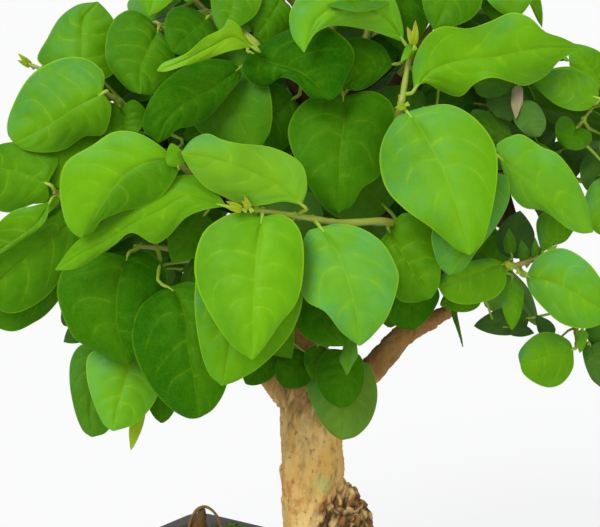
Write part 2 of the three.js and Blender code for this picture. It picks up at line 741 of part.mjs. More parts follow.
// Pot: rounded rectangle, tapering down to its base, with a rim, four feet and two drain holes.
function roundedSlab(length, width, corner, height, taper = 1) {
  const outline = new THREE.Shape();
  const [x, y] = [length / 2, width / 2];
  outline.absarc(x - corner, y - corner, corner, 0, Math.PI / 2);
  outline.absarc(-x + corner, y - corner, corner, Math.PI / 2, Math.PI);
  outline.absarc(-x + corner, -y + corner, corner, Math.PI, 1.5 * Math.PI);
  outline.absarc(x - corner, -y + corner, corner, 1.5 * Math.PI, 2 * Math.PI);
  const slab = new THREE.ExtrudeGeometry(outline, { depth: height, bevelEnabled: false, curveSegments: 4 });
  const position = slab.attributes.position;
  for (let i = 0; i < position.count; i += 1) {
    const narrowing = taper + (1 - taper) * position.getZ(i) / height;
    position.setX(i, position.getX(i) * narrowing);
    position.setY(i, position.getY(i) * narrowing);
  }
  return slab;
}

function potSolid() {
  const bodyHeight = potHeight - footHeight;
  const body = solid(roundedSlab(potLength, potWidth, potCorner, bodyHeight, potTaper)
    .translate(0, 0, footHeight));
  const rim = solid(roundedSlab(potLength + 2 * rimOverhang, potWidth + 2 * rimOverhang, potCorner, rimHeight)
    .translate(0, 0, potHeight - rimHeight));
  const hollow = solid(cavity(0));
  const drains = [-1, 1].map((side) => solid(new THREE.CylinderGeometry(drainDiameter / 2, drainDiameter / 2,
    4 * potFloor, 16).rotateX(Math.PI / 2).translate(side * drainSpacing / 2, 0, footHeight)));
  const footX = potLength * potTaper / 2 - footLength / 2 - footInset;
  const footY = potWidth * potTaper / 2 - footLength / 2 - footInset;
  const feet = [[1, 1], [-1, 1], [-1, -1], [1, -1]].map(([sx, sy]) => solid(
    new THREE.BoxGeometry(footLength, footLength, footHeight + 1)
      .translate(sx * footX, sy * footY, (footHeight + 1) / 2)));
  return wasm.Manifold.union([body, rim, ...feet]).subtract(wasm.Manifold.union([hollow, ...drains]));
}

// The pot's inside, drawn in by a clearance and reaching past the rim.
const pastRim = 10;
function cavity(inset) {
  const depth = potHeight - footHeight - potFloor + pastRim - inset;
  const inner = 2 * (potWall + inset);
  return roundedSlab(potLength - inner, potWidth - inner, cavityCorner, depth, potTaper)
    .translate(0, 0, footHeight + potFloor + inset);
}

// Soil: fills the pot to just under the rim and rises in a low mound to the trunk.
function soilSolid() {
  const mound = new THREE.BoxGeometry(potLength, potWidth, potHeight, 12, 9, 1);
  const position = mound.attributes.position;
  for (let i = 0; i < position.count; i += 1) {
    const [x, y] = [position.getX(i), position.getY(i)];
    if (position.getZ(i) > 0) {
      const fall = ((x - treeInPot.x) / potLength) ** 2 + ((y - treeInPot.y) / potWidth) ** 2;
      const ripple = 0.8 * Math.sin(0.13 * x + 1) * Math.cos(0.17 * y);
      position.setZ(i, soilLevel - soilMound * Math.min(1, 3.2 * fall) + ripple);
    } else {
      position.setZ(i, 0);
    }
  }
  const holes = wasm.Manifold.union([woodSolid(pieceGap), solid(rootGeometry(pieceGap))]);
  const filling = solid(mound).intersect(solid(cavity(pieceGap)));
  return mainBody(filling.subtract(holes.transform(tree.matrix.elements)));
}

// The root that loops out of the soil behind the trunk, on the left.
const rootLine = [
  [190, 556, -48], [189, 528, -49], [197, 510, -50], [209, 508, -49], [220, 523, -46], [224, 556, -44],
];
const rootRadii = [1.3, 1.2, 1.1, 1, 1, 1.1];
function rootGeometry(grow) {
  return limb(seenRoute(rootLine), rootRadii, 7, 14, grow);
}

tree.add(namedMesh('looping_root', solid(rootGeometry(0)), barkFinish));
planted.add(namedMesh('pot', potSolid(), potFinish));
planted.add(namedMesh('soil', soilSolid(), soilFinish));

export default bonsai;
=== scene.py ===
import functools
import math
import random

import bpy
import numpy as np
from bpy.props import FloatProperty, FloatVectorProperty, PointerProperty
from mathutils import Matrix, Vector, noise


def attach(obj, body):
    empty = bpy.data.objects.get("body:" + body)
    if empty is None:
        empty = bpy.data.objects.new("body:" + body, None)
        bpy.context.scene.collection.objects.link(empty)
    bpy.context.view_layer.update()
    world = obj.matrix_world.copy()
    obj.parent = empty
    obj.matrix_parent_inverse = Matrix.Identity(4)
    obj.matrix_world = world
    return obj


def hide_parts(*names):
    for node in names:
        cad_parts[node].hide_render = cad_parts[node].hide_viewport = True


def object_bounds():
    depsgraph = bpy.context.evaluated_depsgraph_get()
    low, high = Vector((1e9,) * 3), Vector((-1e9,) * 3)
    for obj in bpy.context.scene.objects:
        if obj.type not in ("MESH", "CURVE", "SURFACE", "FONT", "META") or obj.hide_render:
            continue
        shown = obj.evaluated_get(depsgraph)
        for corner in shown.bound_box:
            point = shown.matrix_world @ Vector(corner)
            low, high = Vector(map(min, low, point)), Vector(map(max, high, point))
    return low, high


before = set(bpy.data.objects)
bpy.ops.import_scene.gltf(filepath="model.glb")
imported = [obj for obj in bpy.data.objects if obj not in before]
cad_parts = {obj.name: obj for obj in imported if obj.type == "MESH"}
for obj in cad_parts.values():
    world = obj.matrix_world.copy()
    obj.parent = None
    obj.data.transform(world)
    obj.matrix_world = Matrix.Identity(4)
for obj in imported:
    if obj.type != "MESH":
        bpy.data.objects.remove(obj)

CAD_BOX = [list(corner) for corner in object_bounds()]

bl_info = {
    "name": "Chinese Privet Bonsai",
    "version": (1, 0, 0),
    "blender": (4, 5, 0),
    "location": "View3D > Sidebar > Bonsai",
    "description": "Leaves, bark, soil and pot of a privet bonsai, modelled around its solid parts",
    "category": "Object",
}

# Shapes are worked out in millimetres in the tree's own frame, and turned into the pot's at the end.
MM = 0.001
BODY = "root"
TREE_TURN = math.radians(35)
POT_OFFSET = (-2, -13)
TREE_IN_POT = (1, 14)
TREE_OFFSET = (POT_OFFSET[0] + TREE_IN_POT[0], POT_OFFSET[1] + TREE_IN_POT[1])
SOIL_LEVEL = 48

# How the photograph sees the tree
TRUNK_DIAMETER = 22
TRUNK_WIDTH_IN_PICTURE = 60
VIEW_DISTANCE = 600
VIEW_TILT = math.radians(10)
VIEW_HEIGHT = 124
VIEW_SIDE = -4.8
PICTURE_SIZE = (600, 527)
PICTURE_CENTRE = (300, 263.5)
SENSOR_WIDTH = 36
PIXELS_PER_SLOPE = VIEW_DISTANCE * TRUNK_WIDTH_IN_PICTURE / TRUNK_DIAMETER
VIEW_RIGHT = np.array([1.0, 0.0, 0.0])
VIEW_FORWARD = np.array([0.0, math.cos(VIEW_TILT), -math.sin(VIEW_TILT)])
VIEW_UP = np.array([0.0, math.sin(VIEW_TILT), math.cos(VIEW_TILT)])
TO_EYE = -VIEW_FORWARD
EYE = np.array([VIEW_SIDE, 0.0, VIEW_HEIGHT]) - VIEW_DISTANCE * VIEW_FORWARD
UP = np.array([0.0, 0.0, 1.0])

# Sizes that the leaves share with the solid parts
STALK_RADIUS = 0.8
STALK_LENGTH = 4
TWIG_ROWS = 4
TWIG_RADII = (1.5, 1.5, 0.9)
BRANCHLET_RADII = (2.9, 2.3, 1.7)
PIECE_GAP = 0.3
CLEARANCE = 1.5

# Crown, as an ellipsoid that the shoots fill
CROWN_CENTRE = np.array([4.0, 4.0, 158.0])
CROWN_REACH = np.array([122.0, 84.0, 96.0])
FILL_COUNT = 52
FILL_TOP = 0.97
FILL_BOTTOM = -0.58
FILL_START = 0.45
FILL_END = 0.84
FILL_PAIRS = 4
FILL_LEAF = 46
FILL_TRIES = 9
FILL_RISE = 3
FILL_BREADTH = 0.74
FRONT_LIMIT = -8
GOLDEN_ANGLE = math.pi * (3 - math.sqrt(5))

# Wood: limbs as picture points with how near they lie (mm), and radii (mm) along them
TRUNK = (
    [(321, 632, 0), (321, 592, 0), (318, 566, 0), (314, 530, 0), (313, 480, 0), (313, 430, 0),
        (312, 388, -1)],
    [15, 17, 14, 11.6, 11, 10.8, 11.4],
)
BOUGHS = [
    ([(312, 398, -1), (302, 330, -8), (316, 260, -12), (330, 165, -14), (334, 90, -12)],
     [9, 6.6, 5.4, 4, 2.6]),
    ([(306, 404, 0), (272, 374, 2), (240, 340, 4), (212, 300, 0), (190, 250, -6), (176, 205, -8)],
     [8.5, 5.6, 4.8, 4.3, 3.6, 2.6]),
    ([(320, 404, 0), (366, 374, 2), (388, 352, 2), (408, 332, 1), (446, 312, 0), (486, 276, -6),
      (512, 226, -10)],
     [8.5, 4.9, 4.6, 4, 2.7, 2.6, 2.4]),
]
KNOBS = [
    ([(284, 456, 0), (285, 470, 1), (286, 484, 0)], [0.6, 2.4, 0.6]),
    ([(286, 492, 2), (285, 500, 3), (287, 509, 2)], [0.5, 1.9, 0.5]),
    ([(296, 372, 6), (300, 386, 9), (298, 400, 6)], [1.0, 3.6, 1.0]),
    ([(280, 372, 2), (284, 388, 3), (286, 404, 2)], [1.0, 3.4, 1.0]),
    ([(334, 478, 5), (348, 494, 4), (356, 510, 4)], [1.5, 3.8, 2.0]),
]
BURL_PLACE = (345, 534, 3)
BURL_RADIUS = 12.5
BURL_STRETCH = 1.35
BURL_SKIN = 1.8
ROOT = (
    [(190, 556, -48), (189, 528, -49), (197, 510, -50), (209, 508, -49), (220, 523, -46), (224, 556, -44)],
    [1.3, 1.2, 1.1, 1.0, 1.0, 1.1],
)
ROOT_KNOB = [(200, 548, -51), (199, 531, -51), (201, 518, -51), (203, 508, -51)]

# Outline of the crown in the picture, with the parts past the picture's edges
CROWN_OUTLINE = np.array([
    (-44, 230), (-34, 168), (0, 142), (12, 108), (38, 66), (62, 20), (104, 3), (150, -8), (200, -50),
    (335, -84), (480, -58), (526, 0), (544, 34), (600, 56), (672, 120), (700, 190), (690, 238),
    (600, 238), (556, 241), (541, 236), (534, 214), (511, 200), (507, 216), (516, 246), (560, 250),
    (690, 262), (670, 330), (620, 378), (594, 382), (584, 342), (545, 332), (500, 334), (468, 330),
    (440, 316), (400, 326), (352, 342), (300, 370), (240, 380), (200, 412), (150, 420), (92, 434),
    (72, 400), (66, 332), (0, 328), (-34, 300),
], float)


def leaf(base, tip, width, rib=(), one=(), other=(), light=0.5, dim=0.0, age=0.0, cool=1.0, fold=0.0,
         roll=0.0, **form):
    """A leaf that the picture shows: blade base and tip as (u, v, near), width in pixels, points that
    its rib and its two edges pass through, how light its colour is, which is partly painted shade, how much
    painted shade darkens its other half, how old it is, how much painted sky sheen it takes, and how folded
    and rolled it is."""
    return {"base": base, "tip": tip, "width": width, "form": form, "rib": rib, "one": one, "other": other,
            "light": light, "dim": dim, "age": age, "cool": cool, "fold": fold, "roll": roll}


# The leaves that the picture shows, shoot by shoot: the twig, then its leaves
SHOWN_SPRAYS = {
    "spray_front_centre": ([(410, 236, 20), (390, 222, 52), (345, 223, 62), (320, 220, 68), (285, 214, 73),
        (243, 208, 76)], [
        leaf((262, 217, 76), (252, 360, 90), 108, light=0.82, cool=0.3, dim=-0.14, fold=-0.1, blunt=0.9,
            waves=1, rib=[(257, 250), (254, 300)],
            one=[(240, 212), (220, 219), (203, 234), (195, 262), (198, 287), (211, 315), (231, 344)],
            other=[(280, 214), (296, 225), (303, 246), (302, 280), (295, 304), (279, 324), (263, 348)]),
        leaf((320, 227, 71), (360, 346, 82), 96, light=0.97, cool=1.75, fold=-0.12, blunt=0.85,
            rib=[(334, 247), (345, 272), (355, 305)],
            one=[(308, 232), (301, 252), (300, 278), (306, 300), (326, 312), (342, 332)],
            other=[(340, 224), (362, 229), (382, 243), (395, 265), (398, 282), (388, 315), (372, 336)]),
        leaf((302, 205, 77), (181, 153, 82), 62, light=1.1, cool=1.35, fold=-0.1, arch=0.05, sweep=0.04,
            rib=[(284, 189), (262, 177), (237, 166), (210, 158)],
            one=[(307, 186), (300, 163), (272, 148), (240, 144), (222, 140), (207, 134), (192, 140)],
            other=[(284, 201), (266, 204), (247, 205), (222, 195), (205, 186), (191, 170)]),
        leaf((226, 206, 76), (55, 270, 58), 56, light=0.81, cool=0.1, blunt=0.7, wave=2.6, waves=2.2,
            sweep=-0.05, rib=[(205, 201), (182, 198), (160, 211), (134, 223), (107, 239), (80, 254)],
            one=[(216, 192), (195, 176), (165, 180), (135, 200), (98, 226), (73, 246)],
            other=[(206, 209), (186, 217), (168, 236), (153, 243), (131, 232), (112, 246), (78, 267)]),
        leaf((250, 224, 69), (222, 386, 78), 100, light=0.65, cool=0.85, blunt=0.75,
            rib=[(240, 280), (231, 340)], one=[(220, 232), (200, 262), (195, 300), (199, 340), (208, 371)],
            other=[(275, 232), (298, 262), (302, 300), (290, 334), (264, 363), (240, 379)]),
        leaf((389, 230, 49), (432, 298, 58), 72, light=0.52, cool=0.1, blunt=0.7,
            rib=[(402, 254), (417, 278)], one=[(378, 245), (385, 262), (391, 285), (400, 300), (416, 302)],
            other=[(402, 214), (424, 218), (436, 238), (440, 262), (439, 284)]),
    ]),
    "spray_centre_low": ([(326, 290, 14), (346, 270, 32), (364, 258, 36), (384, 248, 34)], [
        leaf((336, 268, 44), (345, 346, 62), 60, light=0.15, rib=[(318, 296), (328, 326)],
            one=[(306, 276), (292, 300), (296, 326), (312, 341), (330, 346)],
            other=[(360, 272), (366, 300), (358, 326)]),
        leaf((398, 262, 36), (414, 330, 42), 50, light=0.15, blunt=0.6, rib=[(408, 290), (410, 312)],
            one=[(390, 280), (388, 305), (392, 321), (401, 328)],
            other=[(428, 278), (439, 294), (433, 311), (423, 323)]),
    ]),
    "spray_front_left": ([(236, 200, 22), (212, 186, 52), (184, 168, 70), (178, 150, 72)], [
        leaf((172, 158, 74), (82, 238, 70), 86, light=1.0, cool=0.8, dim=0.62, fold=0.12, blunt=0.75,
            wave=1.2, rib=[(150, 162), (130, 171), (114, 187), (101, 207)],
            one=[(163, 148), (140, 134), (115, 132), (92, 146), (66, 163), (60, 190), (65, 220), (74, 234)],
            other=[(178, 170), (166, 190), (151, 203), (122, 211), (102, 220), (92, 232)]),
        leaf((178, 166, 76), (171, 143, 78), 16, light=0.95),
        leaf((205, 214, 56), (172, 262, 58), 42, light=0.25),
    ]),
    "spray_left_upper": ([(150, 128, 12), (128, 110, 38), (108, 94, 52)], [
        leaf((103, 93, 55), (14, 143, 50), 86, light=0.78, cool=1.15, dim=0.12, fold=-0.16, blunt=0.55,
            arch=0.1, rib=[(77, 107), (48, 126)],
            one=[(104, 74), (88, 60), (65, 58), (38, 70), (22, 88), (9, 117), (8, 134)],
            other=[(111, 107), (104, 133), (84, 136), (64, 149), (42, 152), (23, 149)]),
        leaf((82, 78, 38), (98, 2, 24), 78, light=0.64, blunt=0.7, rib=[(82, 40), (84, 18)],
            one=[(58, 72), (38, 60), (48, 38), (60, 18), (78, 5)],
            other=[(110, 76), (118, 48), (114, 22), (106, 10)]),
        leaf((120, 108, 46), (126, 142, 50), 40, light=0.3, fold=0.3, rib=[(124, 120)],
            one=[(109, 102), (105, 116), (104, 134)], other=[(133, 100), (145, 111), (141, 128)]),
        leaf((96, 118, 42), (50, 190, 50), 60, light=0.45, blunt=0.8),
    ]),
    "spray_upper_left": ([(262, 96, 8), (264, 70, 34), (258, 46, 46), (236, 28, 41), (212, 12, 36),
        (168, 20, 37)], [
        leaf((158, 30, 40), (140, 94, 52), 66, light=0.32, fold=-0.08, blunt=0.75, rib=[(147, 52), (140, 72)],
            one=[(146, 16), (130, 10), (114, 20), (106, 42), (108, 64), (120, 81), (131, 91)],
            other=[(165, 38), (173, 50), (174, 68), (166, 84), (152, 94)]),
        leaf((207, 18, 40), (172, 52, 49), 58, light=0.15, blunt=0.7),
        leaf((250, 52, 46), (330, 100, 60), 80, light=0.02, cool=0.1, wave=3, waves=1.8,
            rib=[(270, 62), (295, 70), (315, 84)],
            one=[(262, 44), (290, 30), (325, 27), (348, 42), (354, 58), (346, 78), (339, 94)],
            other=[(242, 68), (250, 81), (266, 87), (280, 77), (296, 82), (312, 98)]),
        leaf((252, 47, 56), (157, 71, 64), 30, light=1.12, fold=0.25, sweep=-0.17, turn=20,
            rib=[(232, 37), (208, 48), (184, 60)],
            one=[(245, 38), (240, 27), (229, 20), (222, 29), (205, 38), (186, 54), (164, 63)],
            other=[(243, 48), (228, 51), (205, 59), (182, 66), (166, 71)]),
        leaf((240, 68, 46), (158, 143, 60), 60, light=0.1, cool=0.1, rib=[(211, 89), (184, 104), (165, 122)],
            one=[(228, 61), (206, 60), (180, 70), (159, 88), (146, 110), (144, 130)],
            other=[(240, 78), (228, 94), (210, 115), (193, 125), (177, 129), (167, 138)]),
    ]),
    "spray_top_left": ([(306, 36, 0), (290, -2, 24), (250, -26, 32), (204, -40, 34), (166, -42, 34)], [
        leaf((280, -2, 36), (254, 36, 42), 44, light=0.3, blunt=0.55, rib=[(272, 14), (262, 28)],
            one=[(266, -4), (252, 4), (248, 20)], other=[(291, 8), (290, 26), (280, 42), (264, 45)]),
        leaf((164, -34, 38), (149, 16, 44), 38, light=0.75),
        leaf((244, -20, 37), (222, 34, 49), 46, light=0.5),
        leaf((201, -34, 37), (186, 2, 44), 44, light=0.4),
    ]),
    "spray_upper_centre": ([(330, 130, 8), (338, 108, 30), (338, 84, 40), (318, 72, 38), (300, 78, 36)], [
        leaf((343, 96, 44), (339, 213, 60), 106, light=0.2, cool=0.2, fold=-0.12, blunt=0.85,
            rib=[(344, 118), (341, 145), (339, 180)],
            one=[(324, 93), (302, 104), (289, 126), (291, 147), (300, 167), (311, 188), (325, 206)],
            other=[(370, 91), (389, 101), (395, 120), (386, 145), (379, 175), (362, 188), (351, 206)]),
        leaf((294, 98, 38), (232, 152, 44), 64, light=0.15, arch=0.04, rib=[(270, 114), (247, 132)],
            one=[(278, 84), (250, 92), (234, 110), (228, 132)],
            other=[(302, 120), (288, 145), (262, 158), (244, 158)]),
    ]),
    "spray_upper_right": ([(378, 150, 10), (394, 128, 40), (400, 108, 56), (406, 76, 52), (412, 42, 48)], [
        leaf((407, 112, 60), (470, 255, 76), 116, light=0.86, cool=0.9, fold=-0.1, blunt=0.85,
            rib=[(417, 124), (434, 152), (448, 182), (460, 217)],
            one=[(397, 117), (384, 138), (380, 160), (386, 187), (404, 208), (432, 228), (457, 249)],
            other=[(425, 107), (450, 105), (475, 119), (494, 145), (497, 175), (491, 213), (482, 243)]),
        leaf((414, 90, 57), (582, 48, 44), 68, light=0.82, cool=0.6, blunt=0.8, wave=3.2, waves=2, phase=2,
            rib=[(430, 72), (455, 62), (500, 56), (545, 48)],
            one=[(413, 66), (424, 40), (442, 27), (468, 29), (490, 22), (512, 13), (530, 18), (545, 32),
                (562, 38)],
            other=[(424, 82), (440, 90), (460, 96), (475, 83), (492, 77), (512, 82), (526, 85), (546, 75),
                (560, 60)]),
        leaf((404, 42, 52), (304, 53, 66), 82, light=0.97, cool=1.3, sweep=0.34,
            rib=[(384, 16), (350, 4), (318, 18)],
            one=[(402, 22), (390, -6), (355, -22), (312, -14), (291, 10), (292, 36)],
            other=[(388, 36), (366, 29), (336, 25), (318, 31), (309, 42)]),
        leaf((394, 64, 44), (342, 88, 46), 50, light=0.15, rib=[(375, 67), (357, 76)],
            one=[(382, 46), (362, 38), (346, 42), (336, 62)], other=[(386, 72), (372, 84), (358, 90)]),
    ]),
    "spray_top_right": ([(396, 50, 0), (420, 8, 20), (454, -32, 30), (504, -44, 28)], [
        leaf((462, -26, 34), (434, 30, 42), 58, light=0.42),
        leaf((504, -36, 32), (516, 19, 38), 52, light=0.7),
        leaf((520, -44, 26), (542, 27, 20), 12, light=1.0),
    ]),
    "spray_right": ([(456, 190, 8), (474, 176, 36), (486, 160, 47), (489, 146, 50)], [
        leaf((499, 157, 53), (593, 232, 48), 60, light=1.0, cool=1.4, fold=-0.15, wave=1.4,
            rib=[(516, 170), (539, 189), (566, 213)],
            one=[(496, 146), (507, 138), (522, 135), (541, 147), (558, 155), (575, 177), (587, 204)],
            other=[(504, 172), (510, 192), (524, 207), (545, 211), (568, 228), (582, 233)]),
        leaf((484, 172, 52), (449, 275, 64), 78, light=0.7, cool=1.8, blunt=0.7, rib=[(484, 205), (468, 240)],
            one=[(468, 180), (444, 208), (432, 234), (436, 257), (442, 269)],
            other=[(505, 176), (509, 198), (497, 224), (478, 249), (463, 269)]),
    ]),
    "spray_right_low": ([(486, 290, 12), (498, 272, 38), (514, 266, 44), (540, 258, 40)], [
        leaf((526, 276, 45), (609, 313, 50), 66, light=0.82, cool=1.4, blunt=0.65,
            rib=[(548, 281), (572, 292), (592, 304)],
            one=[(535, 260), (550, 250), (568, 250), (588, 263), (602, 282), (608, 299)],
            other=[(530, 291), (545, 309), (562, 323), (582, 328), (600, 324)]),
        leaf((504, 264, 47), (438, 287, 52), 50, light=0.72, blunt=0.6, rib=[(482, 270), (460, 279)],
            one=[(492, 259), (474, 261), (450, 269), (439, 279)],
            other=[(506, 282), (496, 296), (476, 303), (457, 303), (444, 296)]),
        leaf((480, 290, 36), (440, 305, 38), 30, light=0.4),
        leaf((512, 278, 40), (512, 330, 42), 20, light=0.55),
        leaf((542, 252, 36), (577, 224, 33), 30, light=0.68, rib=[(552, 240), (564, 231)],
            one=[(538, 238), (537, 222), (545, 212), (562, 212)], other=[(552, 246), (566, 240)]),
        leaf((512, 258, 30), (520, 211, 24), 36, light=0.1, age=1.0),
    ]),
    "spray_right_tip": ([(560, 290, -10), (574, 322, 8), (578, 346, 20)], [
        leaf((573, 349, 22), (520, 364, 24), 54, light=0.78, fold=-0.12, blunt=0.5, arch=0.04,
            rib=[(556, 354), (538, 359)], one=[(569, 341), (556, 334), (541, 333), (528, 341), (519, 353)],
            other=[(573, 367), (563, 382), (549, 387), (534, 382), (523, 373)]),
        leaf((590, 346, 21), (601, 387, 22), 32, light=0.25, age=0.6, rib=[(594, 358), (599, 374)],
            one=[(585, 342), (583, 352), (586, 366), (592, 379)],
            other=[(598, 342), (611, 348), (614, 362), (609, 377)]),
        leaf((552, 336, 8), (536, 316, 8), 14, light=0.1, age=1.0),
        leaf((528, 318, 2), (474, 326, 2), 26, light=0.15, age=1.0),
    ]),
    "spray_right_back": ([(520, 150, -30), (560, 130, -42), (600, 100, -34)], [
        leaf((588, 100, -32), (534, 78, -26), 46, light=0.7),
        leaf((604, 88, -36), (570, 44, -36), 36, light=0.75),
        leaf((584, 124, -28), (558, 130, -24), 26, light=0.35, blunt=0.45),
        leaf((556, 134, -36), (520, 118, -34), 30, light=0.15, age=1.0),
        leaf((566, 140, -38), (566, 186, -32), 34, light=0.15, age=1.0),
        leaf((606, 150, -34), (600, 190, -28), 36, light=0.2, age=0.9),
    ]),
    "spray_left": ([(150, 196, 10), (110, 200, 30), (76, 200, 44), (54, 192, 52)], [
        leaf((48, 184, 53), (-26, 168, 42), 70, light=0.44, cool=0.3, blunt=0.75, rib=[(30, 176), (0, 168)],
            one=[(58, 160), (44, 146), (18, 142), (-8, 148)],
            other=[(48, 199), (32, 204), (8, 212), (-12, 202)]),
        leaf((50, 202, 55), (-20, 262, 46), 34, light=0.6, fold=0.35, turn=-40, rib=[(36, 224), (8, 244)],
            one=[(34, 206), (12, 212), (-8, 232)], other=[(44, 222), (22, 240), (0, 253)]),
        leaf((74, 220, 46), (-22, 300, 38), 84, light=0.35, cool=0.4, blunt=0.75, rib=[(48, 240), (14, 268)],
            one=[(58, 208), (40, 218), (15, 238), (-12, 268)],
            other=[(79, 240), (64, 272), (45, 297), (12, 313)]),
        leaf((76, 240, 36), (-24, 318, 28), 78, light=0.2, blunt=0.75, rib=[(50, 276), (16, 304)],
            one=[(52, 240), (16, 262), (-16, 296)],
            other=[(76, 262), (66, 288), (50, 310), (34, 322), (10, 331)]),
    ]),
    "spray_lower_left": ([(214, 262, 14), (190, 252, 32), (164, 248, 42), (134, 246, 40)], [
        leaf((168, 287, 52), (199, 418, 66), 86, light=0.06, cool=0.15, dim=-0.15, fold=-0.1, blunt=0.65,
            rib=[(178, 296), (186, 320), (188, 348), (194, 380)],
            one=[(158, 292), (140, 308), (132, 335), (138, 362), (152, 388), (172, 409), (188, 418)],
            other=[(190, 282), (208, 295), (222, 325), (227, 358), (226, 386), (214, 408)]),
        leaf((128, 256, 44), (129, 364, 54), 106, light=0.18, cool=0.1, dim=0.12, blunt=0.7,
            rib=[(118, 285), (117, 325)],
            one=[(96, 252), (68, 264), (58, 285), (60, 306), (74, 337), (96, 351), (116, 363)],
            other=[(146, 252), (162, 264), (167, 285), (156, 315), (143, 337), (135, 357)]),
    ]),
    "spray_lower_left_inner": ([(206, 322, 10), (170, 334, 26), (140, 342, 34), (116, 340, 32)], [
        leaf((137, 344, 38), (113, 431, 48), 66, light=0.95, cool=1.3, blunt=0.7,
            rib=[(129, 370), (122, 392), (116, 412)],
            one=[(112, 346), (90, 354), (87, 375), (93, 400), (104, 424)],
            other=[(154, 366), (158, 390), (150, 408), (134, 424)]),
        leaf((108, 346, 32), (92, 437, 40), 52, light=0.3, age=0.2, blunt=0.55, rib=[(96, 375), (90, 408)],
            one=[(84, 344), (72, 358), (70, 382), (75, 410), (83, 430)],
            other=[(116, 362), (118, 390), (114, 416), (106, 432)]),
        leaf((164, 350, 28), (162, 423, 34), 36, light=0.18, blunt=0.6),
        leaf((142, 400, 36), (131, 450, 34), 11, light=1.25),
        leaf((96, 320, 26), (64, 342, 26), 22, light=0.1, age=0.5),
    ]),
    "spray_trunk_front": ([(318, 372, 12), (320, 352, 24), (334, 340, 34), (350, 334, 42)], [
        leaf((352, 362, 26), (342, 440, 32), 70, light=1.08, age=0.8, blunt=0.5, rib=[(347, 388), (344, 414)],
            one=[(326, 358), (309, 378), (309, 396), (320, 420), (332, 434)],
            other=[(368, 364), (376, 384), (376, 404), (369, 423), (356, 436)]),
        leaf((346, 350, 36), (340, 408, 42), 50, light=0.2, blunt=0.5, rib=[(345, 370), (342, 390)],
            one=[(328, 350), (317, 366), (317, 385), (326, 399), (333, 404)],
            other=[(360, 356), (364, 374), (361, 391), (352, 404)]),
        leaf((318, 346, 30), (315, 382, 34), 24, light=0.3),
        leaf((352, 338, 46), (347, 375, 50), 18, light=1.05, turn=40),
        leaf((306, 354, 27), (282, 386, 34), 38, light=0.15, blunt=0.55),
        leaf((276, 346, 22), (246, 384, 26), 32, light=0.2, blunt=0.6),
    ]),
}

# Small leaves on long stalks, which hang on the nearest wood
EXTRA_LEAVES = [
    leaf((243, 158, 36), (238, 131, 42), 32, light=0.6),
    leaf((512, 140, 35), (468, 118, 33), 30, light=0.4, age=0.3, rib=[(498, 132), (482, 124)],
        one=[(508, 127), (492, 114), (474, 110)], other=[(508, 146), (490, 144), (474, 134)]),
    leaf((474, 82, 38), (516, 86, 40), 26, light=0.3, age=0.45),
    leaf((404, -14, 30), (402, 52, 34), 52, light=0.12, cool=0.3),
    leaf((497, -24, 26), (500, 23, 32), 44, light=0.3, cool=0.3),
    leaf((478, 104, 12), (424, 97, 14), 28, light=0.0, age=0.3, cool=0.3),
    leaf((598, 98, 38), (530, 78, 35), 36, light=0.62, age=0.1),
    leaf((370, 62, 28), (400, 33, 30), 30, light=0.05, cool=0.2),
    leaf((388, 194, 2), (424, 222, 4), 26, light=0.0, cool=0.2),
    leaf((97, 72, 20), (124, 97, 20), 26, light=0.25, cool=0.3),
    leaf((59, 187, 48), (43, 216, 47), 12, light=1.0),
    leaf((496, 90, 36), (511, 121, 40), 26, light=0.3, age=0.9),
    leaf((518, 86, 42), (516, 119, 46), 9, light=0.3, age=1.6, turn=20),
    leaf((520, 103, 44), (540, 136, 46), 27, light=0.35, age=0.85, blunt=0.5),
    leaf((577, 128, 22), (568, 149, 26), 34, light=0.4, rib=[(574, 134), (571, 142)],
        one=[(571, 119), (562, 117), (556, 126), (557, 138), (562, 146)],
        other=[(583, 128), (590, 132), (591, 140), (585, 147), (576, 150)]),
    leaf((600, 148, 10), (599, 197, 14), 32, light=0.35, age=0.85, rib=[(599, 164), (599, 182)],
        one=[(589, 153), (581, 165), (582, 182), (590, 193)],
        other=[(611, 153), (618, 166), (616, 184), (608, 194)]),
    leaf((602, 177, 18), (605, 236, 22), 32, light=1.0, rib=[(603, 196), (604, 216)],
        one=[(592, 184), (585, 200), (587, 220), (596, 232)],
        other=[(613, 184), (619, 200), (618, 222), (612, 233)]),
    leaf((511, 253, 36), (508, 228, 38), 10, light=0.45, age=0.3),
    leaf((526, 264, 38), (521, 240, 38), 9, light=0.4, age=0.4),
    leaf((536, 262, 38), (535, 238, 38), 6, light=0.5, age=0.2),
    leaf((583, 330, 24), (580, 353, 26), 8, light=0.85),
    leaf((600, 321, 16), (596, 350, 18), 24, light=0.25, age=0.5),
    leaf((426, 108, 26), (374, 92, 32), 28, light=0.15, age=0.3),
    leaf((414, 44, 50), (401, 62, 55), 7, light=1.0),
    leaf((230, 110, 26), (184, 140, 30), 40, light=0.15),
    leaf((452, 306, 20), (463, 347, 26), 2, light=0.3, age=0.3),
    leaf((507, 327, 4), (534, 333, 4), 12, light=0.1, age=1.0),
]

# Thin stems that the picture shows apart from the sprays, each from the nearest wood
LOOSE_STEMS = [
    [(618, 84, 14), (604, 96, 18), (590, 111, 21), (577, 129, 22)],
    [(428, 82, 34), (456, 72, 34), (486, 70, 34), (512, 76, 36)],
]

# Tips of growing shoots: place, which way they point in the picture, size in pixels, and how red
BUDS = [
    ((30, 65, 40), (-12, -8), 16, 0),
    ((177, 160, 76), (-1, -18), 12, 0),
    ((241, 209, 80), (-14, -4), 18, 0.5),
    ((249, 207, 80), (-8, -12), 13, 0.7),
    ((414, 44, 52), (-4, -26), 23, 1),
    ((404, 106, 60), (-8, 4), 12, 0),
    ((509, 266, 48), (-6, -4), 9, 0.6),
    ((522, 273, 48), (9, 3), 9, 0.4),
    ((549, 252, 42), (12, -6), 14, 1),
]


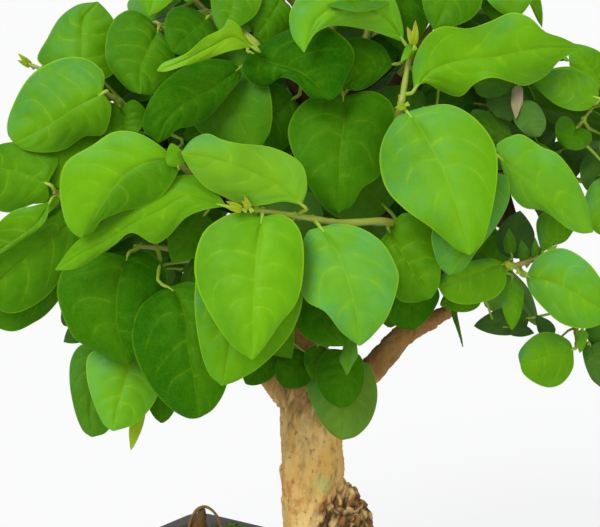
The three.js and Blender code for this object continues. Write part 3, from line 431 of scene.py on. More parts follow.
def seen(u, v, near):
    """Points of the tree that show at picture places (u, v), near millimetres in front of the trunk."""
    u, v, near = np.broadcast_arrays(np.asarray(u, float), np.asarray(v, float), np.asarray(near, float))
    ray = VIEW_FORWARD + ((u - PICTURE_CENTRE[0]) / PIXELS_PER_SLOPE)[..., None] * VIEW_RIGHT
    ray = ray + ((PICTURE_CENTRE[1] - v) / PIXELS_PER_SLOPE)[..., None] * VIEW_UP
    return EYE + ray * ((-near - EYE[1]) / ray[..., 1])[..., None]


def shown_at(points):
    """Picture places of points of the tree."""
    offset = np.asarray(points) - EYE
    depth = offset @ VIEW_FORWARD
    u = PICTURE_CENTRE[0] + PIXELS_PER_SLOPE * offset[..., 0] / depth
    v = PICTURE_CENTRE[1] - PIXELS_PER_SLOPE * (offset @ VIEW_UP) / depth
    return np.stack([u, v], axis=-1)


def in_pot_frame(points):
    """Points of the tree in the pot's frame, in metres."""
    cos, sin = math.cos(TREE_TURN), math.sin(TREE_TURN)
    turn = np.array([[cos, -sin, 0], [sin, cos, 0], [0, 0, 1]])
    return (np.asarray(points) @ turn.T + [*TREE_OFFSET, SOIL_LEVEL]) * MM


def dice(seed):
    """Even pseudo-random numbers from 0 to 1, the same on every run."""
    state = (seed * 2654435761 + 12345) % 4294967296

    def roll():
        nonlocal state
        state = (state * 1664525 + 1013904223) % 4294967296
        return state / 4294967296
    return roll


def unit(vector):
    return vector / np.linalg.norm(vector)


def curve_at(points, places):
    """Points of a smooth curve through points, at places from 0 to 1 spread evenly over its spans."""
    points = np.asarray(points, float)
    padded = np.vstack([2 * points[0] - points[1], points, 2 * points[-1] - points[-2]])
    along = np.clip(np.atleast_1d(places), 0, 1) * (len(points) - 1)
    span = np.minimum(np.floor(along).astype(int), len(points) - 2)
    step = (along - span)[:, None]
    before, start, end, after = (padded[span + k] for k in range(4))
    leaving, arriving = 0.5 * (end - before), 0.5 * (after - start)
    cubic = 2 * start - 2 * end + leaving + arriving
    square = -3 * start + 3 * end - 2 * leaving - arriving
    return start + leaving * step + square * step ** 2 + cubic * step ** 3


def curve_tangent(points, place):
    """Which way a smooth curve runs at a place."""
    ends = curve_at(points, [max(0, place - 0.0001), min(1, place + 0.0001)])
    return unit(ends[1] - ends[0])


def spread(points, places):
    """Points at even shares of the length of a smooth curve."""
    dense = curve_at(points, np.linspace(0, 1, 160))
    length = np.concatenate([[0], np.cumsum(np.linalg.norm(np.diff(dense, axis=0), axis=1))])
    at = np.asarray(places) * length[-1]
    return np.stack([np.interp(at, length, column) for column in dense.T], axis=-1)


def between(values, places):
    """Values read between the entries of a list, at places from 0 to 1."""
    return np.interp(np.asarray(places) * (len(values) - 1), range(len(values)), values)


def picture_curve(places):
    """Points of the tree from a list of picture places."""
    return seen(*np.array(places, float).T)


# Blades: their form where a leaf states none
PLAIN_FORM = {"blunt": 0.8, "arch": 0.07, "sweep": 0, "cup": -0.06, "wave": 0.8, "waves": 1.5, "phase": 0}
LEAST_HALF_WIDTH = 0.5
TRACED_CUP = -0.16
TRACED_WAVE = 1.3


def breadth(place, bluntness):
    """Half a blade's breadth, as a share of its widest, from its base (0) to its tip (1)."""
    widest = 0.5 / (0.5 + bluntness)
    return np.sqrt(place) * (1 - place) ** bluntness / (math.sqrt(widest) * (1 - widest) ** bluntness)


def make_blade(foot, base, tip, face_hint, width, form, looks):
    """A leaf blade from its base to its tip, with the way its upper face looks, its width and form."""
    axis = tip - base
    length = np.linalg.norm(axis)
    axis = axis / length
    face = unit(face_hint - axis * (face_hint @ axis))
    turn = math.radians(form.get("turn", 0))
    across = np.cross(axis, face)
    face = face * math.cos(turn) + across * math.sin(turn)
    return {"foot": foot, "base": base, "axis": axis, "length": length, "face": face,
            "side": np.cross(face, axis), "width": width, "looks": looks, **PLAIN_FORM, **form}


def ripple(blade, across, along):
    """The wave of a blade's edges, out of step on its two sides."""
    return np.sin(2 * math.pi * blade["waves"] * along + blade["phase"] + np.where(across < 0, 2, 0))


def plain_surface(blade, across, along):
    """Points of a blade with the plain outline: across from -1 to 1, along from 0 to 1."""
    shape = breadth(along, blade["blunt"])
    half = 0.5 * blade["width"] * shape + STALK_RADIUS * (1 - along)
    bow = 4 * along * (1 - along)
    edge = across ** 2 * (blade["cup"] * half + blade["wave"] * ripple(blade, across, along) * shape)
    edge = edge + blade["looks"].get("fold", 0) * np.abs(across) * half
    lift = blade["length"] * blade["arch"] * bow + edge
    aside = blade["length"] * blade["sweep"] * bow + half * across
    return (blade["base"] + np.outer(along * blade["length"], blade["axis"])
            + np.outer(lift, blade["face"]) + np.outer(aside, blade["side"]))


def traced_surface(blade, across, along):
    """Points of a blade whose rib and edges pass through places in the picture."""
    traced = blade["traced"]
    base, tip = traced["base"], traced["tip"]
    rib = spread([base[:2], *traced["rib"], tip[:2]], along)
    edges = [spread([base[:2], *traced[edge], tip[:2]], along) for edge in ("one", "other")]
    edge = np.where((across < 0)[:, None], edges[0], edges[1])
    aside = np.array([base[1] - tip[1], tip[0] - base[0]], float)
    aside /= np.linalg.norm(aside)
    if np.mean((edges[1] - edges[0]) @ aside) < 0:
        aside = -aside
    place = rib + np.abs(across)[:, None] * (edge - rib) + np.outer(across * LEAST_HALF_WIDTH, aside)
    scale = (VIEW_DISTANCE - (base[2] + tip[2]) / 2) / PIXELS_PER_SLOPE
    half = np.linalg.norm(edge - rib, axis=1) * scale
    looks = blade["looks"]
    bow = 4 * along * (1 - along)
    near = base[2] + (tip[2] - base[2]) * along + blade["length"] * blade["arch"] * bow
    lift = looks["fold"] * np.abs(across) + looks["roll"] * across + blade["cup"] * across ** 2
    near = near + half * lift
    near = near + blade["wave"] * ripple(blade, across, along) * across ** 2 * np.sqrt(bow)
    return seen(place[:, 0], place[:, 1], near)


def blade_surface(blade, across, along):
    shape = traced_surface if blade.get("traced") else plain_surface
    return shape(blade, across, along)


# Grid over a blade's middle surface, for telling whether blades meet
SURFACE_ROWS = 6
GRID_ACROSS = np.tile([-1.0, 0.0, 1.0], SURFACE_ROWS)
GRID_ALONG = np.repeat(np.arange(SURFACE_ROWS) / (SURFACE_ROWS - 1), 3)


def grid_links():
    edges, triangles = [], []
    for row in range(SURFACE_ROWS):
        for column in range(3):
            corner = 3 * row + column
            if column < 2:
                edges.append((corner, corner + 1))
            if row < SURFACE_ROWS - 1:
                edges.append((corner, corner + 3))
            if column < 2 and row < SURFACE_ROWS - 1:
                triangles.append((corner, corner + 1, corner + 3))
                triangles.append((corner + 1, corner + 4, corner + 3))
    return np.array(edges), np.array(triangles)


GRID_EDGES, GRID_TRIANGLES = grid_links()


def surface(blade, shape=None):
    points = (shape or plain_surface)(blade, GRID_ACROSS, GRID_ALONG)
    centre = blade["base"] + blade["axis"] * blade["length"] / 2
    radius = np.linalg.norm(points - centre, axis=1).max()
    return {"points": points, "centre": centre, "radius": radius, "face": blade["face"]}


def segments_meet(starts, ends, triangles):
    """Whether any of the segments passes through any of the triangles (n, 3, 3)."""
    along = (ends - starts)[:, None, :]
    corner = triangles[None, :, 0]
    ab = triangles[None, :, 1] - corner
    ac = triangles[None, :, 2] - corner
    normal = np.cross(along, ac)
    scale = (ab * normal).sum(-1)
    flat = np.abs(scale) < 1e-9
    scale = np.where(flat, 1.0, scale)
    offset = starts[:, None, :] - corner
    p = (offset * normal).sum(-1) / scale
    turned = np.cross(offset, ab)
    q = (along * turned).sum(-1) / scale
    reach = (ac * turned).sum(-1) / scale
    meets = ~flat & (p >= 0) & (q >= 0) & (p + q <= 1) & (reach >= 0) & (reach <= 1)
    return bool(meets.any())


def layers(shape, lifts):
    """The triangles of a blade's middle surface, lifted along its face by each of the lifts."""
    moved = [shape["points"] + lift * shape["face"] for lift in lifts]
    return np.concatenate([layer[GRID_TRIANGLES] for layer in moved])


def pierces(one, other):
    """Whether an edge of one blade's grid passes through the other blade or comes close to it."""
    starts, ends = one["points"][GRID_EDGES[:, 0]], one["points"][GRID_EDGES[:, 1]]
    return segments_meet(starts, ends, layers(other, (0, -CLEARANCE, CLEARANCE)))


def crosses(one, other):
    if np.linalg.norm(one["centre"] - other["centre"]) > one["radius"] + other["radius"] + CLEARANCE:
        return False
    return pierces(one, other) or pierces(other, one)


def inside_outline(places):
    """Whether all picture places lie inside the crown's outline."""
    start, end = CROWN_OUTLINE, np.roll(CROWN_OUTLINE, -1, axis=0)
    u, v = places[:, :1], places[:, 1:]
    level = (start[:, 1] > v) != (end[:, 1] > v)
    rise = np.where(end[:, 1] == start[:, 1], 1, end[:, 1] - start[:, 1])
    left = u < start[:, 0] + (end[:, 0] - start[:, 0]) * (v - start[:, 1]) / rise
    return bool((((level & left).sum(1)) % 2 == 1).all())


# The crown: twigs, branchlets and blades, by the rule that the solid parts follow

def twig_line(line):
    """The middle line of a twig, in the straight runs that its solid has."""
    runs = curve_at(line, np.linspace(0, 1, TWIG_ROWS + 1))
    shares = np.arange(8)[:, None] / 8
    points = np.concatenate([start + (end - start) * shares for start, end in zip(runs, runs[1:])])
    return points[2:-1]


def nearest(samples, point):
    return samples[np.argmin(((samples - point) ** 2).sum(1))]


def fill_twig(index):
    """The line of a twig that no picture shows, spread evenly over the crown, and which way it grows."""
    height = FILL_TOP - (FILL_TOP - FILL_BOTTOM) * (index - 1) / (FILL_COUNT - 1)
    flat = math.sqrt(1 - height * height)
    turn = GOLDEN_ANGLE * (index - 1)
    reach = np.array([math.cos(turn) * flat, math.sin(turn) * flat, height]) * CROWN_REACH
    shares = (FILL_START, (FILL_START + FILL_END) / 2, FILL_END)
    line = np.array([CROWN_CENTRE + reach * share for share in shares])
    line[1, 2] += FILL_RISE
    return line, unit(reach)


def needed(end):
    """Whether a twig belongs there: inside the outline, and not before the leaves that the picture shows."""
    u, v = shown_at(end)
    in_picture = 0 < u < PICTURE_SIZE[0] and 0 < v < PICTURE_SIZE[1]
    return inside_outline(np.array([[u, v]])) and (not in_picture or end[1] > FRONT_LIMIT)


class Wood:
    """Samples along every limb, with radius and owner, to keep blades clear of them."""

    steps = 12

    def __init__(self):
        self.points = np.empty((0, 3))
        self.nexts = np.empty((0, 3))
        self.radii = np.empty(0)
        self.owners = np.empty(0, dtype=object)

    def samples(self, line, radii):
        points = curve_at(line, np.linspace(0, 1, self.steps + 1))
        return points, between(radii, np.linspace(0, 1, self.steps + 1))

    def add(self, line, radii, owner):
        points, widths = self.samples(line, radii)
        self.points = np.vstack([self.points, points])
        self.nexts = np.vstack([self.nexts, points[1:], points[-1:]])
        self.radii = np.concatenate([self.radii, widths])
        self.owners = np.concatenate([self.owners, np.full(len(points), owner, dtype=object)])

    def meets(self, line, radii, trunk_too):
        points, widths = self.samples(line, radii)
        asked = np.ones(len(self.points), bool) if trunk_too else self.owners != "trunk"
        gaps = np.linalg.norm(points[:, None] - self.points[asked][None], axis=2)
        return bool((gaps < widths[:, None] + self.radii[asked][None] + CLEARANCE).any())

    def near(self, shape, owner):
        reach = shape["radius"] + self.radii + 2 * CLEARANCE
        close = (self.owners != owner) & (np.linalg.norm(self.points - shape["centre"], axis=1) < reach)
        if not close.any():
            return False
        gaps = np.linalg.norm(shape["points"][:, None] - self.points[close][None], axis=2)
        if (gaps < self.radii[close][None] + CLEARANCE).any():
            return True
        lifted = layers(shape, (0, -2 * CLEARANCE, 2 * CLEARANCE))
        return segments_meet(self.points[close], self.nexts[close], lifted)


def fill_blade(line, out, along, pair, side, size, roll):
    """A blade of a pair on a twig, by chance: its foot, lean, size, form and looks."""
    level = unit(np.cross(UP, out))
    across = np.cross(out, level) if pair % 2 else level
    foot = line[int(math.floor(along * (len(line) - 1) + 0.5))]
    axis = out * (0.35 + 0.5 * roll()) + across * side
    axis[2] -= 0.25 + 0.5 * roll()
    axis = unit(axis)
    base = foot + axis * STALK_LENGTH
    length = size * (0.85 + 0.3 * roll())
    hint = out * 0.8 + UP * 0.55
    form = {"blunt": 0.6 + 0.3 * roll(), "arch": 0.04 + 0.08 * roll(), "turn": 50 * (roll() - 0.5),
            "phase": 6 * roll()}
    looks = {"light": 0.25 + 0.6 * roll(), "age": max(0.0, 1.6 * roll() - 1.1), "fold": 0.0}
    return make_blade(foot, base, base + axis * length, hint, length * FILL_BREADTH, form, looks)


def shown_blade(samples, entry):
    """The blade of a leaf that the picture shows, its foot on the nearest of the samples."""
    start, end = (seen(*entry[key]) for key in ("base", "tip"))
    scale = (VIEW_DISTANCE - (entry["base"][2] + entry["tip"][2]) / 2) / PIXELS_PER_SLOPE
    behind = start - unit(end - start) * STALK_LENGTH
    blade = make_blade(nearest(samples, behind), start, end, TO_EYE, entry["width"] * scale,
                       entry["form"], entry)
    if len(entry["rib"]):
        blade["traced"] = entry
        blade["cup"] = entry["form"].get("cup", TRACED_CUP)
        blade["wave"] = entry["form"].get("wave", TRACED_WAVE)
    return blade


@functools.lru_cache(maxsize=None)
def crown():
    """The crown's shoots, each with twig, branchlet and blades, and the wood and the blades placed."""
    wood = Wood()
    wood.add(picture_curve(TRUNK[0]), TRUNK[1], "trunk")
    bough_points = []
    for line, radii in BOUGHS:
        wood.add(picture_curve(line), radii, "trunk")
        bough_points.append(curve_at(picture_curve(line), np.linspace(0, 1, 21))[6:])
    bough_points = np.vstack(bough_points)
    shoots = []

    def add_shoot(shoot, always):
        start, inward = shoot["twig"][0], curve_tangent(shoot["twig"], 0)
        end = start - inward * PIECE_GAP
        source = nearest(bough_points, start - 30 * inward)
        bend = end - inward * 0.35 * np.linalg.norm(end - source)
        branchlet = np.array([source, bend, end])
        blocked = not always and (wood.meets(shoot["twig"], TWIG_RADII, True)
                                  or wood.meets(branchlet, BRANCHLET_RADII, False))
        if not blocked:
            shoots.append({**shoot, "branchlet": branchlet})
            wood.add(shoot["twig"], TWIG_RADII, shoot["name"])
            wood.add(branchlet, BRANCHLET_RADII, "trunk")

    for name, (twig, entries) in SHOWN_SPRAYS.items():
        add_shoot({"name": name, "twig": picture_curve(twig), "entries": entries}, True)
    for index in range(1, FILL_COUNT + 1):
        line, out = fill_twig(index)
        if needed(line[2]):
            add_shoot({"name": f"spray_fill_{index:02d}", "twig": line, "out": out, "index": index}, False)

    placed = []
    for shoot in shoots:
        if "entries" in shoot:
            samples = twig_line(shoot["twig"])
            shoot["blades"] = [shown_blade(samples, entry) for entry in shoot["entries"]]
            placed += [surface(blade) for blade in shoot["blades"]]
    for shoot in shoots:
        if "entries" not in shoot:
            shoot["blades"] = fill_blades(shoot, wood, placed)
    return {"shoots": shoots, "wood": wood, "placed": placed}


def fill_blades(shoot, wood, placed):
    """Blades in opposite pairs along a twig, each tried again until it meets nothing."""
    blades = []
    line = twig_line(shoot["twig"])
    for pair in range(FILL_PAIRS):
        for side in (-1, 1):
            for attempt in range(FILL_TRIES):
                roll = dice(1000 * shoot["index"] + 100 * pair + 10 * attempt + side)
                size = FILL_LEAF * (0.85 if pair == 0 else 1)
                blade = fill_blade(line, shoot["out"], 1 - pair / FILL_PAIRS, pair, side, size, roll)
                shape = surface(blade)
                if clear_of(shape, wood, placed, shoot["name"]):
                    blades.append(blade)
                    placed.append(shape)
                    break
    return blades


def clear_of(shape, wood, placed, owner):
    if not inside_outline(shown_at(shape["points"])) or wood.near(shape, owner):
        return False
    return not any(crosses(shape, other) for other in placed)


# Leaves that only the looks add: inside the crown, on long stalks from the nearest wood
INNER_TRIES = 900
INNER_LEAVES = 170
INNER_SEED = 90000
INNER_BREADTH = 0.72
LONGEST_STALK = 26
OLD_CLUSTER = (470, 70, 620, 215)


def inner_blades():
    """Blades that fill the inside of the crown, older than those outside and darker in colour, which paints
    the shade inside the crown.
    """
    grown = crown()
    wood, placed = grown["wood"], list(grown["placed"])
    for shoot in grown["shoots"]:
        placed += [surface(blade, traced_surface) for blade in shoot["blades"] if "traced" in blade]
    stems = [curve_at(picture_curve(places), np.linspace(0.2, 1, 24)) for places in LOOSE_STEMS]
    blades = [shown_blade(np.vstack([wood.points, *stems]), entry) for entry in EXTRA_LEAVES]
    placed += [surface(blade) for blade in blades]
    for attempt in range(INNER_TRIES):
        if len(blades) >= INNER_LEAVES:
            break
        roll = dice(INNER_SEED + attempt)
        height = 0.95 - 1.6 * roll()
        turn = 2 * math.pi * roll()
        flat = math.sqrt(1 - height * height)
        out = np.array([math.cos(turn) * flat, math.sin(turn) * flat, height])
        base = CROWN_CENTRE + out * CROWN_REACH * (0.32 + 0.5 * roll())
        foot = nearest(wood.points, base)
        stalk = np.linalg.norm(base - foot)
        if not STALK_LENGTH < stalk < LONGEST_STALK:
            continue
        wander = np.array([roll() - 0.5, roll() - 0.5, roll() - 0.8])
        axis = unit(0.5 * unit(base - foot) + 0.35 * out + 0.9 * wander)
        length = 26 + 20 * roll()
        u, v = shown_at(base)
        old = OLD_CLUSTER[0] < u < OLD_CLUSTER[2] and OLD_CLUSTER[1] < v < OLD_CLUSTER[3]
        # Painted shade: a low light value makes the inner leaves dark, for the shade inside the crown.
        looks = {"light": 0.05 + 0.4 * roll(), "age": 1.0 if old else max(0.0, 1.5 * roll() - 0.8),
                 "fold": 0.0}
        form = {"blunt": 0.55 + 0.3 * roll(), "arch": 0.04 + 0.08 * roll(), "turn": 60 * (roll() - 0.5),
                "phase": 6 * roll()}
        hint = out * 0.6 + UP * 0.6 + TO_EYE * 0.35
        blade = make_blade(foot, base, base + axis * length, hint, length * INNER_BREADTH, form, looks)
        shape = surface(blade)
        if in_cad_box(shape["points"]) and clear_of(shape, wood, placed, None):
            blades.append(blade)
            placed.append(shape)
    return blades


def in_cad_box(points):
    places = in_pot_frame(points)
    return bool((places > CAD_BOX[0]).all() and (places < CAD_BOX[1]).all())


# Modelling helpers

def deselect():
    bpy.ops.object.select_all(action="DESELECT")


def apply_modifier(piece, kind, **settings):
    modifier = piece.modifiers.new(kind.title(), kind)
    for name, value in settings.items():
        setattr(modifier, name, value)
    bpy.context.view_layer.objects.active = piece
    bpy.ops.object.modifier_apply(modifier=modifier.name)


def joined(parts, name):
    """The parts as one object of that name."""
    deselect()
    for part in parts:
        part.select_set(True)
    bpy.context.view_layer.objects.active = parts[0]
    if len(parts) > 1:
        bpy.ops.object.join()
    piece = bpy.context.view_layer.objects.active
    piece.name = name
    piece.data.name = name
    return piece


def in_place(piece):
    """Moves a piece of the pot, which is modelled round the pot's middle, to where the pot stands."""
    set_coordinates(piece.data, coordinates(piece.data) + [POT_OFFSET[0] * MM, POT_OFFSET[1] * MM, 0])


def dress(piece, slot, *nodes):
    """The piece rides with the pot and stands for the nodes; the slot is not used."""
    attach(piece, BODY)
    if nodes:
        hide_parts(*nodes)


def coordinates(mesh):
    flat = np.empty(3 * len(mesh.vertices))
    mesh.vertices.foreach_get("co", flat)
    return flat.reshape(-1, 3)


def set_coordinates(mesh, points):
    mesh.vertices.foreach_set("co", np.asarray(points, float).ravel())
    mesh.update()


def linked(name, data):
    """A new object of the scene that holds the data."""
    piece = bpy.data.objects.new(name, data)
    bpy.context.scene.collection.objects.link(piece)
    return piece


ATTRIBUTE_KEYS = {"FLOAT": "value", "FLOAT_VECTOR": "vector", "FLOAT_COLOR": "color"}


def set_attribute(mesh, name, values):
    """Fills a point attribute of a mesh."""
    attribute = mesh.attributes[name]
    attribute.data.foreach_set(ATTRIBUTE_KEYS[attribute.data_type], np.asarray(values, np.float32).ravel())


def clipped(value):
    return min(1.0, max(0.0, value))


class Master:
    """A mesh that is modelled once and then copied, each copy with its own shape."""

    def __init__(self, piece, material, attributes=()):
        self.mesh = piece.data
        self.mesh.materials.append(material)
        for name, kind in attributes:
            self.mesh.attributes.new(name, kind, "POINT")
        self.places = coordinates(self.mesh)
        bpy.data.objects.remove(piece)

    def copy(self, points, inside_out=False, **attributes):
        mesh = self.mesh.copy()
        set_coordinates(mesh, in_pot_frame(points))
        if inside_out:
            mesh.flip_normals()
        for name, values in attributes.items():
            set_attribute(mesh, name, values)
        return linked(mesh.name, mesh)


@functools.lru_cache(maxsize=None)
def blade_master(columns, rows):
    """A flat blade with an upper and an under face."""
    deselect()
    bpy.ops.mesh.primitive_grid_add(x_subdivisions=columns, y_subdivisions=rows, size=2, location=(0, 0, 0))
    piece = bpy.context.object
    apply_modifier(piece, "SOLIDIFY", thickness=2, offset=0)
    bpy.ops.object.shade_smooth_by_angle(angle=math.radians(50))
    attributes = [("blade", "FLOAT_VECTOR"), ("tone", "FLOAT_COLOR"), ("cool", "FLOAT")]
    return Master(piece, leaf_material(), attributes)


@functools.lru_cache(maxsize=None)
def tube_master(sides, rows, kind):
    """A straight tube of unit radius from z = 0 to 1."""
    deselect()
    bpy.ops.mesh.primitive_cylinder_add(vertices=sides, radius=1, depth=1, location=(0, 0, 0.5))
    piece = bpy.context.object
    bpy.ops.object.transform_apply(location=True, rotation=False, scale=False)
    bpy.ops.object.mode_set(mode="EDIT")
    bpy.ops.mesh.select_all(action="DESELECT")
    bpy.ops.object.mode_set(mode="OBJECT")
    bpy.context.tool_settings.mesh_select_mode = (False, True, False)
    for edge in piece.data.edges:
        low, high = (piece.data.vertices[i].co.z for i in edge.vertices)
        edge.select = abs(high - low) > 0.5
    bpy.ops.object.mode_set(mode="EDIT")
    bpy.ops.mesh.subdivide(number_cuts=rows - 1)
    bpy.ops.object.mode_set(mode="OBJECT")
    bpy.ops.object.shade_smooth_by_angle(angle=math.radians(60))
    return Master(piece, {"bark": bark_material, "stem": stem_material, "stalk": stalk_material}[kind]())


def tube(line, radii, sides, rows, kind, swell=None):
    """A limb along a curve; swell(place, angle) scales its radius."""
    master = tube_master(sides, rows, kind)
    x, y, place = master.places.T
    places = np.linspace(0, 1, rows + 1)
    centres = curve_at(line, places)
    tangents = np.gradient(centres, axis=0)
    tangents /= np.linalg.norm(tangents, axis=1)[:, None]
    across = np.array([0.3, -0.5, 0.81])
    sideways = []
    for tangent in tangents:
        across = unit(across - tangent * (across @ tangent))
        sideways.append(across)
    sideways = np.array(sideways)
    others = np.cross(tangents, sideways)
    row = np.rint(place * rows).astype(int)
    radius = between(radii, place)
    if swell:
        radius = radius * swell(place, np.arctan2(y, x))
    points = centres[row] + (radius * x)[:, None] * sideways[row] + (radius * y)[:, None] * others[row]
    return master.copy(points)


# Finer form of a leaf: how finely its blade is divided, and its side veins
BLADE_GRID = (22, 42)
MIDDLE_BLADE_GRID = (12, 20)
SMALL_BLADE_GRID = (8, 12)
SMALL_BLADE = 9
LIFT_STEP = 0.004
SIDE_VEINS = 5.3
VEIN_START = 0.1
VEIN_SWEEP = 0.3
VEIN_BEND = 2.3
VEIN_OFFSET = 0.4


def vein_wander(across, along, chance):
    """How the side veins stray from their even spacing, differently on each leaf."""
    turns = 2 * math.pi * chance
    return (0.26 * np.sin(5 * along + 3 * turns + 1.2 * across)
            + 0.14 * np.sin(11 * along - 5 * turns - 3 * across))


def vein_phase(across, along, wander):
    """A number that is whole on each side vein, which leaves the rib and sweeps on towards the tip."""
    phase = SIDE_VEINS * (along - VEIN_START - VEIN_SWEEP * np.abs(across) ** VEIN_BEND)
    return phase + wander + np.where(across < 0, VEIN_OFFSET, 0)


def relief(blade, across, along, wander):
    """How far the blade's face stands off its smooth surface: a groove at the rib, pillows between veins."""
    sizes = bpy.context.scene.bonsai_leaves
    scale = min(1.0, blade["width"] / 30)
    open_part = np.clip(along * 8, 0, 1) * np.clip((1 - along) * 5, 0, 1)
    groove = -sizes.rib_depth / MM * np.exp(-(across / 0.09) ** 2) * open_part
    between_veins = np.abs(np.sin(math.pi * vein_phase(across, along, wander)))
    pillow = between_veins * np.sin(math.pi * np.abs(across) ** 0.8) * open_part
    return scale * (groove + sizes.pillow_height / MM * pillow)


def leaf_piece(blade, chance, inner=False):
    """The fine leaf of a blade, with its stalk."""
    sizes = bpy.context.scene.bonsai_leaves
    grid = BLADE_GRID if "traced" in blade else MIDDLE_BLADE_GRID
    small = blade["width"] < SMALL_BLADE or (inner and "traced" not in blade)
    master = blade_master(*(SMALL_BLADE_GRID if small else grid))
    column, row, layer = master.places.T
    across = np.sign(column) * np.abs(column) ** 1.25
    along = np.clip(0.5 * (row + 1), 0, 1)
    along = 0.004 + 0.992 * along

    def at(u, v):
        return blade_surface(blade, u, v)
    middle = at(across, along)
    inward = np.where(across > 0, -LIFT_STEP, LIFT_STEP)
    onward = np.where(along > 0.5, -LIFT_STEP, LIFT_STEP)
    u_step = (at(across + inward, along) - middle) * np.sign(inward)[:, None]
    v_step = (at(across, along + onward) - middle) * np.sign(onward)[:, None]
    normal = np.cross(u_step, v_step)
    normal /= np.maximum(np.linalg.norm(normal, axis=1), 1e-9)[:, None]
    turned = np.mean(normal @ blade["face"]) < 0
    if turned:
        normal = -normal
    margin = 1 - 0.75 * np.abs(across) ** 4
    half = 0.5 * sizes.thickness / MM * margin
    wander = vein_wander(across, along, chance)
    points = middle + normal * (relief(blade, across, along, wander) + layer * half)[:, None]
    looks = blade["looks"]
    tone = np.tile([looks["light"], looks["age"], chance, 1.0], (len(points), 1))
    # Painted shade: one half of the blade is made darker (lighter where the value is negative), where its
    # fold turns it from the light.
    tone[:, 0] -= looks.get("dim", 0) * np.clip(0.5 + 6 * across, 0, 1)
    tone[:, 3] = wander
    # How much painted sky sheen each leaf takes.
    cool = np.full(len(points), looks.get("cool", 1.0))
    attributes = {"blade": np.stack([across, along, layer], axis=1), "tone": tone, "cool": cool}
    return [master.copy(points, inside_out=turned, **attributes), stalk_piece(blade, middle, along, across)]


def stalk_piece(blade, middle, along, across):
    """The stalk from the twig to the blade, running on a little under its rib."""
    rib = np.abs(across) < 1e-6
    end = middle[rib][np.argmin(np.abs(along[rib] - 0.05))]
    base = middle[rib][np.argmin(along[rib])]
    foot = blade["foot"]
    length = np.linalg.norm(base - foot)
    leaving = unit(base - foot)
    line = [foot - leaving, foot + leaving * 0.3 * length, base - unit(end - base) * 0.3 * length, base,
            end]
    width = min(1.0, 0.5 + blade["width"] / 40)
    return tube(line, np.array([0.95, 0.72, 0.64, 0.6, 0.36]) * width, 8, 8, "stalk")


def spray_piece(shoot, seed):
    """A twig with its leaves, as one piece that stands for the spray's solid."""
    roll = dice(seed)
    sides, rows = (10, 28) if "entries" in shoot else (8, 12)
    twig = tube(shoot["twig"], np.array(TWIG_RADII) * [0.9, 0.75, 0.8], sides, rows, "stem", knots(seed))
    parts = [part for blade in shoot["blades"] for part in leaf_piece(blade, roll())]
    piece = joined([*parts, twig], "leaves_" + shoot["name"].removeprefix("spray_"))
    dress(piece, "foliage", shoot["name"])
    return piece


def knots(seed):
    """Thickenings along a twig where leaves have grown."""
    def swell(place, angle):
        ring = np.cos(2 * math.pi * (4 * place + 0.1 * seed)) ** 6
        return 1 + 0.16 * ring + 0.05 * np.sin(3 * angle + 20 * place)
    return swell


# Materials

class Nodes:
    """Short calls for a material's nodes and links."""

    def __init__(self, name):
        self.material = bpy.data.materials.new(name)
        self.material.use_nodes = True
        self.tree = self.material.node_tree
        self.tree.nodes.clear()

    def add(self, kind, **settings):
        node = self.tree.nodes.new(kind)
        inputs = settings.pop("inputs", {})
        for name, value in settings.items():
            setattr(node, name, value)
        for name, value in inputs.items():
            self.feed(node.inputs[name], value)
        return node

    def feed(self, socket, value):
        if isinstance(value, bpy.types.NodeSocket):
            self.tree.links.new(value, socket)
        else:
            socket.default_value = value

    def math(self, operation, *values, clamp=False):
        node = self.add("ShaderNodeMath", operation=operation, use_clamp=clamp)
        for socket, value in zip(node.inputs, values):
            self.feed(socket, value)
        return node.outputs[0]

    def ramp(self, value, low, high, to_low=0.0, to_high=1.0):
        """value from low to high as to_low to to_high, smoothly and no further."""
        node = self.add("ShaderNodeMapRange", interpolation_type="SMOOTHSTEP")
        for socket, entry in zip(node.inputs, (value, low, high, to_low, to_high)):
            self.feed(socket, entry)
        return node.outputs[0]

    def mix(self, factor, one, other, blend="MIX"):
        node = self.add("ShaderNodeMix", data_type="RGBA", blend_type=blend)
        self.feed(node.inputs[0], factor)
        self.feed(node.inputs[6], one)
        self.feed(node.inputs[7], other)
        return node.outputs[2]

    def noise(self, scale, detail=3.0, roughness=0.55, vector=None, distortion=0.0):
        inputs = {"Vector": vector or self.place(), "Scale": scale, "Detail": detail, "Roughness": roughness,
                  "Distortion": distortion}
        return self.add("ShaderNodeTexNoise", inputs=inputs).outputs["Fac"]

    def place(self, scale=(1, 1, 1), shift=(0, 0, 0)):
        coordinate = self.add("ShaderNodeTexCoord").outputs["Object"]
        inputs = {"Vector": coordinate, "Scale": scale, "Location": shift}
        return self.add("ShaderNodeMapping", inputs=inputs).outputs[0]

    def spot(self, centre, radius):
        """1 at a place of the piece, falling to 0 at the radius, with a ragged edge."""
        here = self.place()
        apart = self.add("ShaderNodeVectorMath", operation="DISTANCE")
        self.feed(apart.inputs[0], here)
        self.feed(apart.inputs[1], centre)
        ragged = self.math("MULTIPLY", self.math("SUBTRACT", self.noise(350, 4), 0.5), radius * 1.6)
        return self.ramp(self.math("ADD", apart.outputs["Value"], ragged), radius, radius * 0.45)

    def bump(self, height, strength, distance, normal=None):
        inputs = {"Height": height, "Strength": strength, "Distance": distance}
        if normal is not None:
            inputs["Normal"] = normal
        return self.add("ShaderNodeBump", inputs=inputs).outputs[0]

    def principled(self, body, rough, normal, specular=0.5):
        """A shader that takes its colour, roughness and normal from the sockets or values."""
        inputs = {"Base Color": body, "Roughness": rough, "Normal": normal}
        shader = self.add("ShaderNodeBsdfPrincipled", inputs=inputs)
        shader.inputs["Specular IOR Level"].default_value = specular
        return shader

    def finish(self, shader):
        output = self.add("ShaderNodeOutputMaterial")
        self.tree.links.new(shader, output.inputs["Surface"])
        return self.material


def colour(value):
    return (*value, 1.0)


